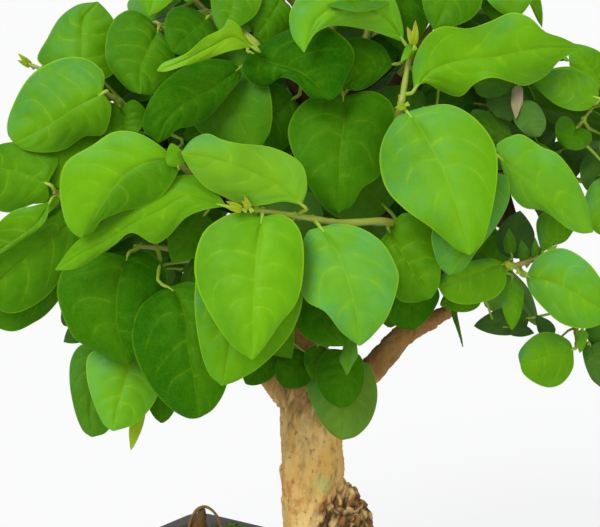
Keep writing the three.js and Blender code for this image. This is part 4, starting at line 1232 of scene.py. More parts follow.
def picture_direction(right, away, up):
    """A direction as the picture sees it, in the pot's frame."""
    turned = Matrix.Rotation(TREE_TURN, 3, "Z") @ Vector((right, away, up))
    return tuple(turned.normalized())


# Direction of the sky, which the leaves' painted sky sheen faces.
SKY_SIDE = picture_direction(-0.55, -0.5, 0.67)


@functools.lru_cache(maxsize=None)
def leaf_material():
    """Satin leaf: light rib, fine side veins, pale margin, duller under face; older leaves grey-green; a
    bluish-green painted sky sheen where the blade faces the sky, and painted shade on leaves that lie in
    shade.
    """
    looks = bpy.context.scene.bonsai_leaves
    m = Nodes("privet_leaf")
    blade = m.add("ShaderNodeAttribute", attribute_name="blade").outputs["Vector"]
    parts = m.add("ShaderNodeSeparateXYZ", inputs={"Vector": blade}).outputs
    across, along, layer = parts[0], parts[1], parts[2]
    tone = m.add("ShaderNodeAttribute", attribute_name="tone")
    tones = m.add("ShaderNodeSeparateColor", inputs={"Color": tone.outputs["Color"]}).outputs
    light, age, chance, wander = tones[0], tones[1], tones[2], tone.outputs["Alpha"]
    aside = m.math("ABSOLUTE", across)
    upper = m.ramp(layer, -0.4, 0.4)

    sweep = m.math("MULTIPLY", m.math("POWER", aside, VEIN_BEND), VEIN_SWEEP)
    phase = m.math("MULTIPLY", m.math("SUBTRACT", m.math("SUBTRACT", along, VEIN_START), sweep), SIDE_VEINS)
    phase = m.math("ADD", phase, m.math("MULTIPLY", m.math("LESS_THAN", across, 0.0), VEIN_OFFSET))
    phase = m.math("ADD", phase, wander)
    from_vein = m.math("ABSOLUTE", m.math("SUBTRACT", m.math("FRACT", m.math("ADD", phase, 0.5)), 0.5))
    narrowing = m.math("SUBTRACT", 1.25, m.math("MULTIPLY", aside, 0.75))
    from_vein = m.math("DIVIDE", from_vein, narrowing)
    open_part = m.math("MULTIPLY", m.ramp(aside, 0.95, 0.65), m.ramp(along, 0.0, 0.1))
    open_part = m.math("MULTIPLY", open_part, m.ramp(along, 0.88, 0.62))
    open_part = m.math("MULTIPLY", open_part, m.ramp(m.noise(200, 2), 0.36, 0.62, 0.15, 1.0))
    vein = m.math("MULTIPLY", m.ramp(from_vein, 0.075, 0.015), open_part)
    beside = m.math("MULTIPLY", m.ramp(from_vein, 0.3, 0.0), open_part)

    shape = m.math("MULTIPLY", along, m.math("SUBTRACT", 1.06, along))
    narrow = m.math("POWER", m.math("MULTIPLY", shape, 4.0), 0.7)
    rib_width = m.math("DIVIDE", 0.0095, m.math("ADD", narrow, 0.08))
    rib = m.math("SUBTRACT", 1.0, m.math("DIVIDE", aside, m.math("MULTIPLY", rib_width, 1.7)), clamp=True)
    rib = m.math("POWER", rib, 0.7)
    rib = m.math("MULTIPLY", rib, m.ramp(along, 1.0, 0.8, 0.15, 1.0))
    margin = m.ramp(aside, 0.955, 0.99)
    cells = m.add("ShaderNodeTexVoronoi", feature="DISTANCE_TO_EDGE",
                  inputs={"Vector": m.place(), "Scale": 620.0})
    net = m.ramp(cells.outputs["Distance"], 0.12, 0.02)

    # Low light gives the dark green of mature leaves, and also paints shade on leaves that lie in shade.
    body = m.mix(light, colour(looks.shade_colour), colour(looks.young_colour))
    body = m.mix(m.math("MULTIPLY", age, 0.85), body, colour(looks.old_colour))
    fresh = m.ramp(light, 1.0, 1.4)
    body = m.mix(fresh, body, colour(looks.bud_colour))
    reddened = m.math("MULTIPLY", m.ramp(light, 1.3, 1.5), m.ramp(along, 0.4, 1.0, 0.0, 0.85))
    body = m.mix(reddened, body, colour(looks.bud_tip_colour))
    # Painted sky sheen: a bluish green where the blade faces the sky side, in patches, strongest on the
    # leaves marked for most of it and weaker on darker leaves.
    facing = m.add("ShaderNodeVectorMath", operation="DOT_PRODUCT")
    m.feed(facing.inputs[0], m.add("ShaderNodeNewGeometry").outputs["Normal"])
    m.feed(facing.inputs[1], SKY_SIDE)
    sheen_patches = m.ramp(m.noise(170, 2), 0.35, 0.65, 0.35, 1.0)
    sheen_patches = m.math("MULTIPLY", sheen_patches, m.ramp(aside, 0.05, 0.85, 0.5, 1.0))
    leafwise = m.add("ShaderNodeAttribute", attribute_name="cool").outputs["Fac"]
    sky_facing = m.math("MULTIPLY", m.ramp(facing.outputs["Value"], 0.45, 0.95), m.ramp(leafwise, 0.0, 1.0))
    sky_facing = m.math("ADD", sky_facing, m.ramp(leafwise, 1.0, 2.0), clamp=True)
    cool = m.math("MULTIPLY", m.math("MULTIPLY", sky_facing, sheen_patches), m.ramp(light, 0.15, 0.75, 0.15, 0.95))
    sky_sheen_body = m.mix(light, colour(looks.sky_sheen_colour), colour(looks.sky_sheen_young_colour))
    body = m.mix(cool, body, sky_sheen_body)
    clouds = m.ramp(m.noise(46, 2, 0.5, m.place((1, 1, 0.7), (2, 0, 1))), 0.36, 0.64)
    deeper = m.mix(0.32, body, colour(looks.shade_colour))
    body = m.mix(m.math("MULTIPLY", clouds, 0.75), body, deeper)
    body = m.mix(m.ramp(age, 1.05, 1.5), body, colour(looks.dried_colour))
    mottle = m.ramp(m.noise(280, 4, 0.6), 0.3, 0.7)
    lighter = m.mix(m.ramp(light, 0.0, 0.8, 0.16, 0.42), body, colour(looks.vein_colour))
    body = m.mix(m.math("MULTIPLY", mottle, 0.26), body, lighter)
    body = m.mix(m.math("MULTIPLY", m.ramp(aside, 0.7, 0.0), 0.2), body, lighter)
    body = m.mix(m.math("MULTIPLY", beside, 0.3), body, lighter)
    body = m.mix(m.math("MULTIPLY", net, 0.04), body, colour(looks.vein_colour))
    pale = m.mix(m.math("MULTIPLY", age, 0.6), colour(looks.vein_colour), body)
    pale = m.mix(m.ramp(light, 0.9, 0.1, 0.0, 0.68), pale, body)
    body = m.mix(m.math("MULTIPLY", vein, 0.3), body, pale)
    body = m.mix(m.math("MULTIPLY", rib, 0.55), body, pale)
    body = m.mix(m.math("MULTIPLY", margin, 0.55), body, pale)
    under = m.mix(0.45, body, colour(looks.under_colour))
    body = m.mix(upper, under, body)

    fine = m.noise(900, 3)
    rough = m.math("ADD", m.ramp(fine, 0.3, 0.7, 0.0, 0.1), m.ramp(upper, 0.0, 1.0, 0.55, looks.gloss))
    rough = m.math("ADD", rough, m.math("MULTIPLY", age, 0.12))
    groove = m.math("ADD", m.math("MULTIPLY", vein, 0.55), rib)
    height = m.math("SUBTRACT", m.math("MULTIPLY", fine, 0.12), groove)
    height = m.math("SUBTRACT", height, m.math("MULTIPLY", net, 0.12))
    bump = m.bump(height, 0.5, 0.00022)
    surface_shader = m.principled(body, rough, bump, looks.sheen)
    reflected = m.mix(light, colour(looks.dark_sheen_colour), colour(looks.light_sheen_colour))
    m.feed(surface_shader.inputs["Specular Tint"], reflected)
    glow = m.mix(m.ramp(light, 0.0, 0.9, 0.2, 0.5), body, colour(looks.glow_colour))
    through = m.add("ShaderNodeBsdfTranslucent", inputs={"Color": glow})
    share = m.add("ShaderNodeMixShader")
    share.inputs[0].default_value = looks.translucency
    m.tree.links.new(surface_shader.outputs[0], share.inputs[1])
    m.tree.links.new(through.outputs[0], share.inputs[2])
    return m.finish(share.outputs[0])


@functools.lru_cache(maxsize=None)
def stem_material():
    """Young stems and stalks: yellow-green with reddish and brown stretches."""
    looks = bpy.context.scene.bonsai_wood
    m = Nodes("privet_stem")
    blend = m.ramp(m.noise(60, 2), 0.46, 0.68)
    body = m.mix(blend, colour(looks.stem_colour), colour(looks.stem_shade_colour))
    speck = m.ramp(m.noise(800, 3), 0.6, 0.7)
    body = m.mix(m.math("MULTIPLY", speck, 0.25), body, colour(looks.bark_dark_colour))
    bump = m.bump(m.noise(1200, 3), 0.3, 0.0002)
    return m.finish(m.principled(body, 0.5, bump).outputs[0])


@functools.lru_cache(maxsize=None)
def stalk_material():
    """Leaf stalks: pale yellow-green, browner in places."""
    looks = bpy.context.scene.bonsai_wood
    m = Nodes("privet_stalk")
    brown = m.ramp(m.noise(90, 2), 0.5, 0.75, 0.0, 0.6)
    body = m.mix(brown, colour(looks.stalk_colour), colour(looks.stem_shade_colour))
    bump = m.bump(m.noise(1200, 3), 0.3, 0.0002)
    return m.finish(m.principled(body, 0.5, bump, 0.3).outputs[0])


@functools.lru_cache(maxsize=None)
def bark_material():
    """Tan bark with dark lenticels and stains, painted shade in its pits, furrows and the burl's cracks, a
    ridged burl, a lichen patch and reddish ones.
    """
    looks = bpy.context.scene.bonsai_wood
    m = Nodes("privet_bark")
    broad = m.ramp(m.noise(90, 4, 0.6, m.place((1, 1, 0.5))), 0.35, 0.68)
    body = m.mix(broad, colour(looks.bark_colour), colour(looks.bark_light_colour))
    streak = m.ramp(m.noise(260, 5, 0.65, m.place((1, 1, 0.4))), 0.48, 0.72)
    body = m.mix(m.math("MULTIPLY", streak, 0.72), body, colour(looks.bark_warm_colour))
    dashes = m.ramp(m.noise(520, 3, 0.6, m.place((1, 1, 0.6))), 0.58, 0.7)
    body = m.mix(m.math("MULTIPLY", dashes, 0.55), body, colour(looks.bark_dark_colour))
    lichen = m.spot(tuple(in_pot_frame(seen(*LICHEN_PLACE))), LICHEN_REACH)
    lichen = m.math("MULTIPLY", lichen, m.ramp(m.noise(600, 4, 0.7), 0.35, 0.55))
    body = m.mix(m.math("MULTIPLY", lichen, 0.75), body, colour(looks.lichen_colour))
    for place in RED_PLACES:
        red = m.spot(tuple(in_pot_frame(seen(*place))), RED_REACH)
        red = m.math("MULTIPLY", red, m.ramp(m.noise(300, 3), 0.3, 0.62))
        body = m.mix(m.math("MULTIPLY", red, 0.75), body, colour(looks.red_colour))
    rugged = m.add("ShaderNodeAttribute", attribute_name="bark")
    marks = m.add("ShaderNodeSeparateColor", inputs={"Color": rugged.outputs["Color"]}).outputs
    hollow, burl, branch, tint = marks[0], marks[1], marks[2], rugged.outputs["Alpha"]
    ridge = m.mix(m.ramp(tint, 0.34, 0.52), colour(looks.burl_light_colour), colour(looks.burl_brown_colour))
    ridge = m.mix(m.ramp(tint, 0.6, 0.76, 0.0, 0.8), ridge, colour(looks.bark_dark_colour))
    ridge = m.mix(m.ramp(m.noise(420, 3), 0.42, 0.7, 0.0, 0.6), ridge, colour(looks.burl_brown_colour))
    body = m.mix(m.math("MULTIPLY", burl, 0.9), body, ridge)
    brown = m.mix(streak, colour(looks.branch_colour), colour(looks.bark_warm_colour))
    body = m.mix(m.math("MULTIPLY", branch, 0.85), body, brown)
    # Painted shade in the bark's pits, furrows and cracks, from the hollow mark.
    body = m.mix(hollow, body, colour(looks.burl_dark_colour))
    height = m.math("ADD", m.noise(700, 6, 0.7), m.math("MULTIPLY", dashes, -0.6))
    bump = m.bump(height, 0.6, 0.0006)
    return m.finish(m.principled(body, 0.85, bump, 0.25).outputs[0])


LICHEN_PLACE = (322, 484, 10)
LICHEN_REACH = 0.0052
RED_REACH = 0.005
RED_PLACES = [(296, 505, 9), (328, 506, 11), (287, 486, 6)]


@functools.lru_cache(maxsize=None)
def pot_material():
    """Dark unglazed stoneware, a little lighter where the rim has worn."""
    looks = bpy.context.scene.bonsai_pot
    m = Nodes("pot_stoneware")
    clouds = m.ramp(m.noise(28, 5, 0.6), 0.3, 0.7)
    body = m.mix(clouds, colour(looks.clay_colour), colour(looks.clay_light_colour))
    worn = m.add("ShaderNodeNewGeometry").outputs["Pointiness"]
    body = m.mix(m.ramp(worn, 0.52, 0.62, 0.0, 0.5), body, colour(looks.clay_worn_colour))
    grain = m.noise(1500, 4, 0.7)
    body = m.mix(m.ramp(grain, 0.62, 0.72, 0.0, 0.35), body, colour(looks.clay_worn_colour))
    rough = m.ramp(clouds, 0.0, 1.0, 0.5, 0.68)
    bump = m.bump(m.math("ADD", grain, m.math("MULTIPLY", clouds, 0.6)), 0.35, 0.0004)
    return m.finish(m.principled(body, rough, bump).outputs[0])


@functools.lru_cache(maxsize=None)
def soil_material():
    """Damp dark soil with lighter grit."""
    looks = bpy.context.scene.bonsai_pot
    m = Nodes("potting_soil")
    clumps = m.ramp(m.noise(160, 6, 0.7), 0.35, 0.65)
    body = m.mix(clumps, colour(looks.soil_colour), colour(looks.soil_light_colour))
    grit = m.ramp(m.noise(900, 4, 0.7), 0.63, 0.7)
    body = m.mix(m.math("MULTIPLY", grit, 0.7), body, colour(looks.grit_colour))
    bump = m.bump(m.noise(700, 6, 0.75), 1.0, 0.0012)
    return m.finish(m.principled(body, 0.95, bump).outputs[0])


@functools.lru_cache(maxsize=None)
def moss_material():
    looks = bpy.context.scene.bonsai_pot
    m = Nodes("moss")
    clumps = m.ramp(m.noise(400, 5, 0.7), 0.35, 0.65)
    body = m.mix(clumps, colour(looks.moss_colour), colour(looks.moss_light_colour))
    bump = m.bump(m.noise(1800, 4, 0.7), 1.0, 0.0008)
    return m.finish(m.principled(body, 0.9, bump).outputs[0])


# Wood

def bark_swell(place, angle):
    return 1 + 0.035 * np.sin(3 * angle + 9 * place) + 0.02 * np.sin(7 * angle - 25 * place)


def trunk_swell(place, angle):
    return bark_swell(place, angle) + 0.13 * np.sin(4 * angle + 1) * np.clip(1 - 2.6 * place, 0, None)


def burl_piece():
    """The gnarled swelling low on the trunk's right side."""
    deselect()
    bpy.ops.mesh.primitive_ico_sphere_add(subdivisions=5, radius=1, location=(0, 0, 0))
    piece = bpy.context.object
    x, y, z = coordinates(piece.data).T
    lumps = 1 + 0.09 * np.sin(5 * x + 2 * z) * np.cos(6 * y) + 0.07 * np.sin(9 * z - 4 * y)
    tall = np.where(z > 0, BURL_STRETCH + 0.2, BURL_STRETCH)
    points = np.stack([0.94 * x, y, tall * z], axis=1) * ((BURL_RADIUS - BURL_SKIN) * lumps)[:, None]
    set_coordinates(piece.data, in_pot_frame(points + seen(*BURL_PLACE)))
    return piece


VOXEL = 0.65
BURL_REACH = 17.5
BURL_FADE = 5
BRANCH_START = 75
BRANCH_FADE = 9
FORK_PLACE = (308, 396, 6)


def wood_piece():
    """Trunk, burl and boughs under one skin of bark, with the branchlets that carry the twigs."""
    looks = bpy.context.scene.bonsai_wood
    limbs = [tube(picture_curve(TRUNK[0]), 1.05 * np.array(TRUNK[1]), 48, 90, "bark", trunk_swell),
             burl_piece()]
    limbs += [tube(picture_curve(line), radii, 24, 60, "bark", bark_swell) for line, radii in BOUGHS]
    limbs += [tube(picture_curve(line), radii, 16, 12, "bark") for line, radii in KNOBS]
    piece = joined(limbs, "bark")
    apply_modifier(piece, "REMESH", mode="VOXEL", voxel_size=VOXEL * MM)
    apply_modifier(piece, "SMOOTH", factor=0.5, iterations=3)
    mesh = piece.data
    count = len(mesh.vertices)
    normals = np.empty(3 * count)
    mesh.vertices.foreach_get("normal", normals)
    places = coordinates(mesh)
    burl_centre = in_pot_frame(seen(*BURL_PLACE))
    fork = Vector(in_pot_frame(seen(*FORK_PLACE))) / MM
    lifts, marks = np.empty(count), np.ones((count, 4))
    for index, place in enumerate(places):
        here = Vector(place) / MM
        stretched = Vector((here.x, here.y, 0.45 * here.z))
        from_burl = np.linalg.norm((place - burl_centre) / MM * [1, 1, 1 / BURL_STRETCH])
        gnarl = clipped((BURL_REACH - from_burl) / BURL_FADE)
        branch = clipped((here.z - SOIL_LEVEL - BRANCH_START) / BRANCH_FADE)
        furrow = noise.fractal(stretched * 0.22, 0.8, 2.1, 4)
        fine = noise.fractal(here * 0.75, 0.7, 2.0, 3)
        dots = noise.voronoi(Vector((here.x, here.y, 0.5 * here.z)) * 0.31)[0][0]
        pit = max(0.0, 1 - dots / 0.36)
        flow = Vector((here.x - 0.3 * here.z + 0.4 * furrow, here.y + 0.4 * furrow, 0.2 * here.z))
        crack = min(1.0, 2.7 * abs(noise.noise(flow * 0.56 + Vector((3, 1, 7)))))
        from_fork = math.hypot((here.z - fork.z) / 13, (here.x - fork.x) / 16)
        ragged = 0.6 * clipped(1.6 - 1.6 * from_fork)
        gnarl = max(gnarl, ragged)
        rough = 0.55 * furrow + 0.25 * fine - 0.4 * pit
        lifts[index] = (1 - gnarl) * rough + gnarl * (2.3 * (crack - 0.6) + 0.3 * fine + 0.7 * furrow)
        # Painted shade: the hollow mark darkens the sunken pits and furrows of the bark and the cracks of the
        # burl.
        hollow = (1 - gnarl) * (0.6 * pit - 0.45 * furrow - 0.12) + gnarl * (1.08 - 1.3 * crack)
        tint = clipped(0.5 + 0.9 * noise.noise(flow * 0.42 + Vector((11, 4, 2))))
        marks[index] = [clipped(hollow), gnarl, branch, tint]
    lifts *= looks.bark_relief
    set_coordinates(mesh, places + normals.reshape(-1, 3) * (lifts * MM)[:, None])
    mesh.attributes.new("bark", "FLOAT_COLOR", "POINT")
    mesh.attributes["bark"].data.foreach_set("color", marks.astype(np.float32).ravel())
    deselect()
    piece.select_set(True)
    bpy.context.view_layer.objects.active = piece
    bpy.ops.object.shade_smooth()
    branchlets = [tube(shoot["branchlet"], BRANCHLET_RADII, 10, 14, "bark", bark_swell)
                  for shoot in crown()["shoots"]]
    piece = joined([piece, *branchlets], "trunk_bark")
    dress(piece, "bark", "trunk_and_branches")


# Pot and soil
POT_LENGTH = 160
POT_WIDTH = 92
POT_HEIGHT = 52
POT_TAPER = 0.88
POT_WALL = 5
POT_FLOOR = 5
POT_CORNER = 7
RIM_HEIGHT = 7
RIM_OVERHANG = 3
FOOT_HEIGHT = 5
FOOT_LENGTH = 24
FOOT_INSET = 3
DRAIN_DIAMETER = 13
DRAIN_SPACING = 62
SOIL_MOUND = 5


def rounded_plate(length, width, corner, z, name):
    """A flat plate with round corners, face down, at a height."""
    deselect()
    bpy.ops.mesh.primitive_plane_add(size=1, location=(0, 0, 0))
    piece = bpy.context.object
    piece.name = name
    set_coordinates(piece.data, coordinates(piece.data) * [length * MM, width * MM, 0] + [0, 0, z * MM])
    bpy.ops.object.mode_set(mode="EDIT")
    bpy.ops.mesh.select_all(action="SELECT")
    bpy.ops.mesh.bevel(offset=corner * MM, segments=8, affect="VERTICES")
    bpy.ops.object.mode_set(mode="OBJECT")
    return piece


def raise_wall(steps):
    """Extrudes the selected face through steps of (rise, length scale, width scale)."""
    for rise, along, across in steps:
        bpy.ops.mesh.extrude_region_move(TRANSFORM_OT_translate={"value": (0, 0, rise * MM)})
        bpy.ops.transform.resize(value=(along, across, 1), center_override=(0, 0, 0))


def pot_piece():
    """Rectangular pot with round corners, a turned-out rim, four feet and two drain holes."""
    base_length, base_width = POT_LENGTH * POT_TAPER, POT_WIDTH * POT_TAPER
    piece = rounded_plate(base_length, base_width, POT_CORNER * POT_TAPER, FOOT_HEIGHT, "pot_body")
    below_rim = POT_HEIGHT - RIM_HEIGHT
    grow = (POT_TAPER + (1 - POT_TAPER) * (below_rim - FOOT_HEIGHT) / (POT_HEIGHT - FOOT_HEIGHT)) / POT_TAPER
    sizes = [
        (below_rim - FOOT_HEIGHT, base_length * grow, base_width * grow),
        (0, POT_LENGTH + 2 * RIM_OVERHANG - 1, POT_WIDTH + 2 * RIM_OVERHANG - 1),
        (0.8, POT_LENGTH + 2 * RIM_OVERHANG, POT_WIDTH + 2 * RIM_OVERHANG),
        (RIM_HEIGHT - 2, POT_LENGTH + 2 * RIM_OVERHANG, POT_WIDTH + 2 * RIM_OVERHANG),
        (0.9, POT_LENGTH + 2 * RIM_OVERHANG - 0.8, POT_WIDTH + 2 * RIM_OVERHANG - 0.8),
        (0.3, POT_LENGTH + 2 * RIM_OVERHANG - 3, POT_WIDTH + 2 * RIM_OVERHANG - 3),
        (0, POT_LENGTH - 2 * POT_WALL + 1.2, POT_WIDTH - 2 * POT_WALL + 1.2),
        (-0.8, POT_LENGTH - 2 * POT_WALL, POT_WIDTH - 2 * POT_WALL),
        (FOOT_HEIGHT + POT_FLOOR - POT_HEIGHT + 0.8, (POT_LENGTH - 2 * POT_WALL) * 0.9,
         (POT_WIDTH - 2 * POT_WALL) * 0.9),
    ]
    steps, last = [], (base_length, base_width)
    for rise, length, width in sizes:
        steps.append((rise, length / last[0], width / last[1]))
        last = (length, width)
    bpy.ops.object.mode_set(mode="EDIT")
    bpy.ops.mesh.select_all(action="SELECT")
    raise_wall(steps)
    bpy.ops.mesh.select_all(action="SELECT")
    bpy.ops.mesh.remove_doubles(threshold=1e-6)
    bpy.ops.mesh.normals_make_consistent(inside=False)
    bpy.ops.object.mode_set(mode="OBJECT")
    for side in (-1, 1):
        drill(piece, (side * DRAIN_SPACING / 2 * MM, 0, FOOT_HEIGHT * MM))
    foot_x = base_length / 2 - FOOT_LENGTH / 2 - FOOT_INSET
    foot_y = base_width / 2 - FOOT_LENGTH / 2 - FOOT_INSET
    feet = [foot_piece(sx * foot_x, sy * foot_y) for sx in (-1, 1) for sy in (-1, 1)]
    piece = joined([piece, *feet], "pot_stoneware")
    apply_modifier(piece, "BEVEL", width=0.5 * MM, segments=2, limit_method="ANGLE",
                   angle_limit=math.radians(35))
    piece.data.materials.clear()
    piece.data.materials.append(pot_material())
    bpy.ops.object.shade_smooth_by_angle(angle=math.radians(40))
    in_place(piece)
    dress(piece, "pot_body", "pot")


def drill(piece, place):
    deselect()
    bpy.ops.mesh.primitive_cylinder_add(vertices=40, radius=DRAIN_DIAMETER / 2 * MM, depth=0.04,
                                        location=place)
    cutter = bpy.context.object
    apply_modifier(piece, "BOOLEAN", operation="DIFFERENCE", solver="EXACT", object=cutter)
    bpy.data.objects.remove(cutter)


def foot_piece(x, y):
    """A foot: a short block under the pot's corner, its corners rounded."""
    piece = rounded_plate(FOOT_LENGTH, FOOT_LENGTH, 3, 0, "foot")
    bpy.ops.object.mode_set(mode="EDIT")
    bpy.ops.mesh.select_all(action="SELECT")
    raise_wall([(FOOT_HEIGHT + 1, 1.04, 1.04)])
    bpy.ops.mesh.select_all(action="SELECT")
    bpy.ops.mesh.normals_make_consistent(inside=False)
    bpy.ops.object.mode_set(mode="OBJECT")
    set_coordinates(piece.data, coordinates(piece.data) + [x * MM, y * MM, 0])
    return piece


def inside_pot(across, along, shrink):
    """Places in a plate with round corners from places in a square of half width 1."""
    half_length, half_width = POT_LENGTH / 2 - POT_WALL - 0.3, POT_WIDTH / 2 - POT_WALL - 0.3
    corner = POT_CORNER - 2
    ring = np.maximum(np.maximum(np.abs(across), np.abs(along)), 1e-9)
    x, y = across / ring * half_length, along / ring * half_width
    over_x = np.maximum(np.abs(x) - (half_length - corner), 0)
    over_y = np.maximum(np.abs(y) - (half_width - corner), 0)
    over = np.maximum(np.hypot(over_x, over_y), 1e-9)
    pull = np.where((over_x > 0) & (over_y > 0), np.minimum(1, corner / over), 1)
    x = np.sign(x) * (np.abs(x) - over_x * (1 - pull))
    y = np.sign(y) * (np.abs(y) - over_y * (1 - pull))
    return x * ring * shrink, y * ring * shrink


def soil_height(x, y):
    fall = ((x - TREE_IN_POT[0]) / POT_LENGTH) ** 2 + ((y - TREE_IN_POT[1]) / POT_WIDTH) ** 2
    return SOIL_LEVEL - SOIL_MOUND * np.minimum(1, 3.2 * fall) + 0.8 * np.sin(0.13 * x + 1) * np.cos(0.17 * y)


def soil_piece():
    """Soil with a rough crumbly top, and loose crumbs on it."""
    deselect()
    bpy.ops.mesh.primitive_grid_add(x_subdivisions=120, y_subdivisions=90, size=2, location=(0, 0, 0))
    piece = bpy.context.object
    bpy.ops.object.mode_set(mode="EDIT")
    bpy.ops.mesh.select_all(action="SELECT")
    bpy.ops.mesh.extrude_region_move(TRANSFORM_OT_translate={"value": (0, 0, -1)})
    bpy.ops.mesh.select_all(action="SELECT")
    bpy.ops.mesh.normals_make_consistent(inside=False)
    bpy.ops.object.mode_set(mode="OBJECT")
    across, along, level = coordinates(piece.data).T
    low = level < -0.5
    x, y = inside_pot(across, along, np.where(low, POT_TAPER + 0.02, 0.985))
    top = soil_height(x, y)
    rough = np.array([noise.fractal(Vector((a, b, 0)) * 0.35, 0.6, 2.2, 4) for a, b in zip(x, y)])
    z = np.where(low, FOOT_HEIGHT + POT_FLOOR + 0.3, top + 0.7 * rough)
    set_coordinates(piece.data, np.stack([x, y, z], axis=1) * MM)
    piece.data.materials.append(soil_material())
    bpy.ops.object.shade_smooth_by_angle(angle=math.radians(60))
    crumbs = scatter_crumbs()
    piece = joined([piece, *crumbs], "soil_crumbs")
    in_place(piece)
    dress(piece, "potting_soil", "soil")


def crumb_master():
    deselect()
    bpy.ops.mesh.primitive_ico_sphere_add(subdivisions=1, radius=1, location=(0, 0, 0))
    return bpy.context.object


CRUMB_COUNT = 520


def scatter_crumbs():
    """Small crumbs of soil and grit, half sunk in the top."""
    master = crumb_master()
    shape = coordinates(master.data)
    chance = random.Random(7)
    crumbs = []
    for _ in range(CRUMB_COUNT):
        across, along = (np.array([chance.uniform(-0.97, 0.97)]) for _ in range(2))
        x, y = (float(value[0]) for value in inside_pot(across, along, 0.97))
        size = chance.uniform(0.5, 1.5)
        turn = np.array(Matrix.Rotation(
            chance.uniform(0, 6.28), 3, Vector((chance.random(), chance.random(), 1))))
        squash = np.array([1, chance.uniform(0.6, 1), chance.uniform(0.5, 0.9)]) * size
        mesh = master.data.copy()
        mesh.materials.append(soil_material())
        place = [x, y, float(soil_height(x, y)) + 0.25 * size]
        set_coordinates(mesh, ((shape * squash) @ turn.T + place) * MM)
        crumbs.append(linked("crumb", mesh))
    bpy.data.objects.remove(master)
    return crumbs


MOSS_CUSHIONS = 46
# Tufts by the looping root: picture place, half width and half height in millimetres
MOSS_TUFTS = [((232, 531, -55), 3.4, 3.6), ((243, 535, -52), 4.6, 3.8), ((217, 532, -59), 2.4, 3.0)]


def moss_piece():
    """Moss cushions round the trunk's foot and towards the back of the pot, bristling with fine tips."""
    deselect()
    bpy.ops.mesh.primitive_ico_sphere_add(subdivisions=3, radius=1, location=(0, 0, 0))
    master = bpy.context.object
    shape = coordinates(master.data)
    chance = random.Random(11)
    cushions = []

    def add_cushion(points):
        mesh = master.data.copy()
        mesh.materials.append(moss_material())
        set_coordinates(mesh, points)
        cushions.append(linked("cushion", mesh))

    pot_place = np.array([*POT_OFFSET, 0]) * MM
    for place, half_width, half_height in MOSS_TUFTS:
        bristle = np.array([0.35 * noise.noise(Vector(p) * 5 + Vector(place)) for p in shape])
        points = shape * (1 + bristle)[:, None] * [half_width, half_width, half_height]
        add_cushion(in_pot_frame(points + seen(*place)) - pot_place)
    for index in range(MOSS_CUSHIONS):
        turn, reach = chance.uniform(0, 6.28), chance.uniform(0.24, 0.92)
        across, along = np.array([math.cos(turn) * reach]), np.array([math.sin(turn) * reach])
        x, y = (float(value[0]) for value in inside_pot(across, along, 0.93))
        size = chance.uniform(2.0, 5.2)
        offset = Vector((index, 2 * index, 0))
        bristle = np.array([0.3 * noise.noise(Vector(p) * 5 + offset) for p in shape])
        points = shape * (1 + bristle)[:, None] * [size, size * chance.uniform(0.6, 1), 0.36 * size]
        add_cushion((points + [x, y, float(soil_height(x, y)) + 0.05 * size]) * MM)
    bpy.data.objects.remove(master)
    piece = joined(cushions, "moss_cushions")
    in_place(piece)
    bpy.ops.object.shade_smooth()
    dress(piece, "foliage")


def bud_parts(place, aim, size, red):
    """A growing tip: a short stem and two small folded leaves."""
    base = seen(*place)
    scale = (VIEW_DISTANCE - place[2]) / PIXELS_PER_SLOPE
    direction = unit(VIEW_RIGHT * aim[0] - VIEW_UP * aim[1] + TO_EYE * 6)
    foot = nearest(crown()["wood"].points, base - 6 * TO_EYE)
    line = [foot, 0.5 * (foot + base) - 3 * TO_EYE, base + direction]
    parts = [tube(line, [1.0, 0.8, 0.6], 8, 8, "stem")]
    for index, (lean, length) in enumerate([(-0.26, 0.8), (0.2, 1.0)]):
        across = np.cross(direction, TO_EYE)
        axis = unit(direction + lean * across)
        looks = {"light": 1.3 + 0.2 * red, "age": 0.0, "fold": 0.35}
        tip = base + axis * size * length * scale
        blade = make_blade(base - axis, base, tip, TO_EYE + 0.5 * lean * across, size * scale * 0.18,
                           {"blunt": 0.8, "wave": 0.2, "arch": 0.1}, looks)
        parts += leaf_piece(blade, 0.3 * index)
    return parts


def buds_piece():
    parts = [part for entry in BUDS for part in bud_parts(*entry)]
    dress(joined(parts, "growing_tips"), "foliage")


# Settings that a user would change

def size_property(name, description, default, top):
    return FloatProperty(name=name, description=description, default=default, min=0.0, max=top, unit="LENGTH",
                         precision=5)


def colour_property(name, description, default):
    return FloatVectorProperty(name=name, description=description, default=default, size=3, min=0.0, max=1.0,
                               subtype="COLOR")


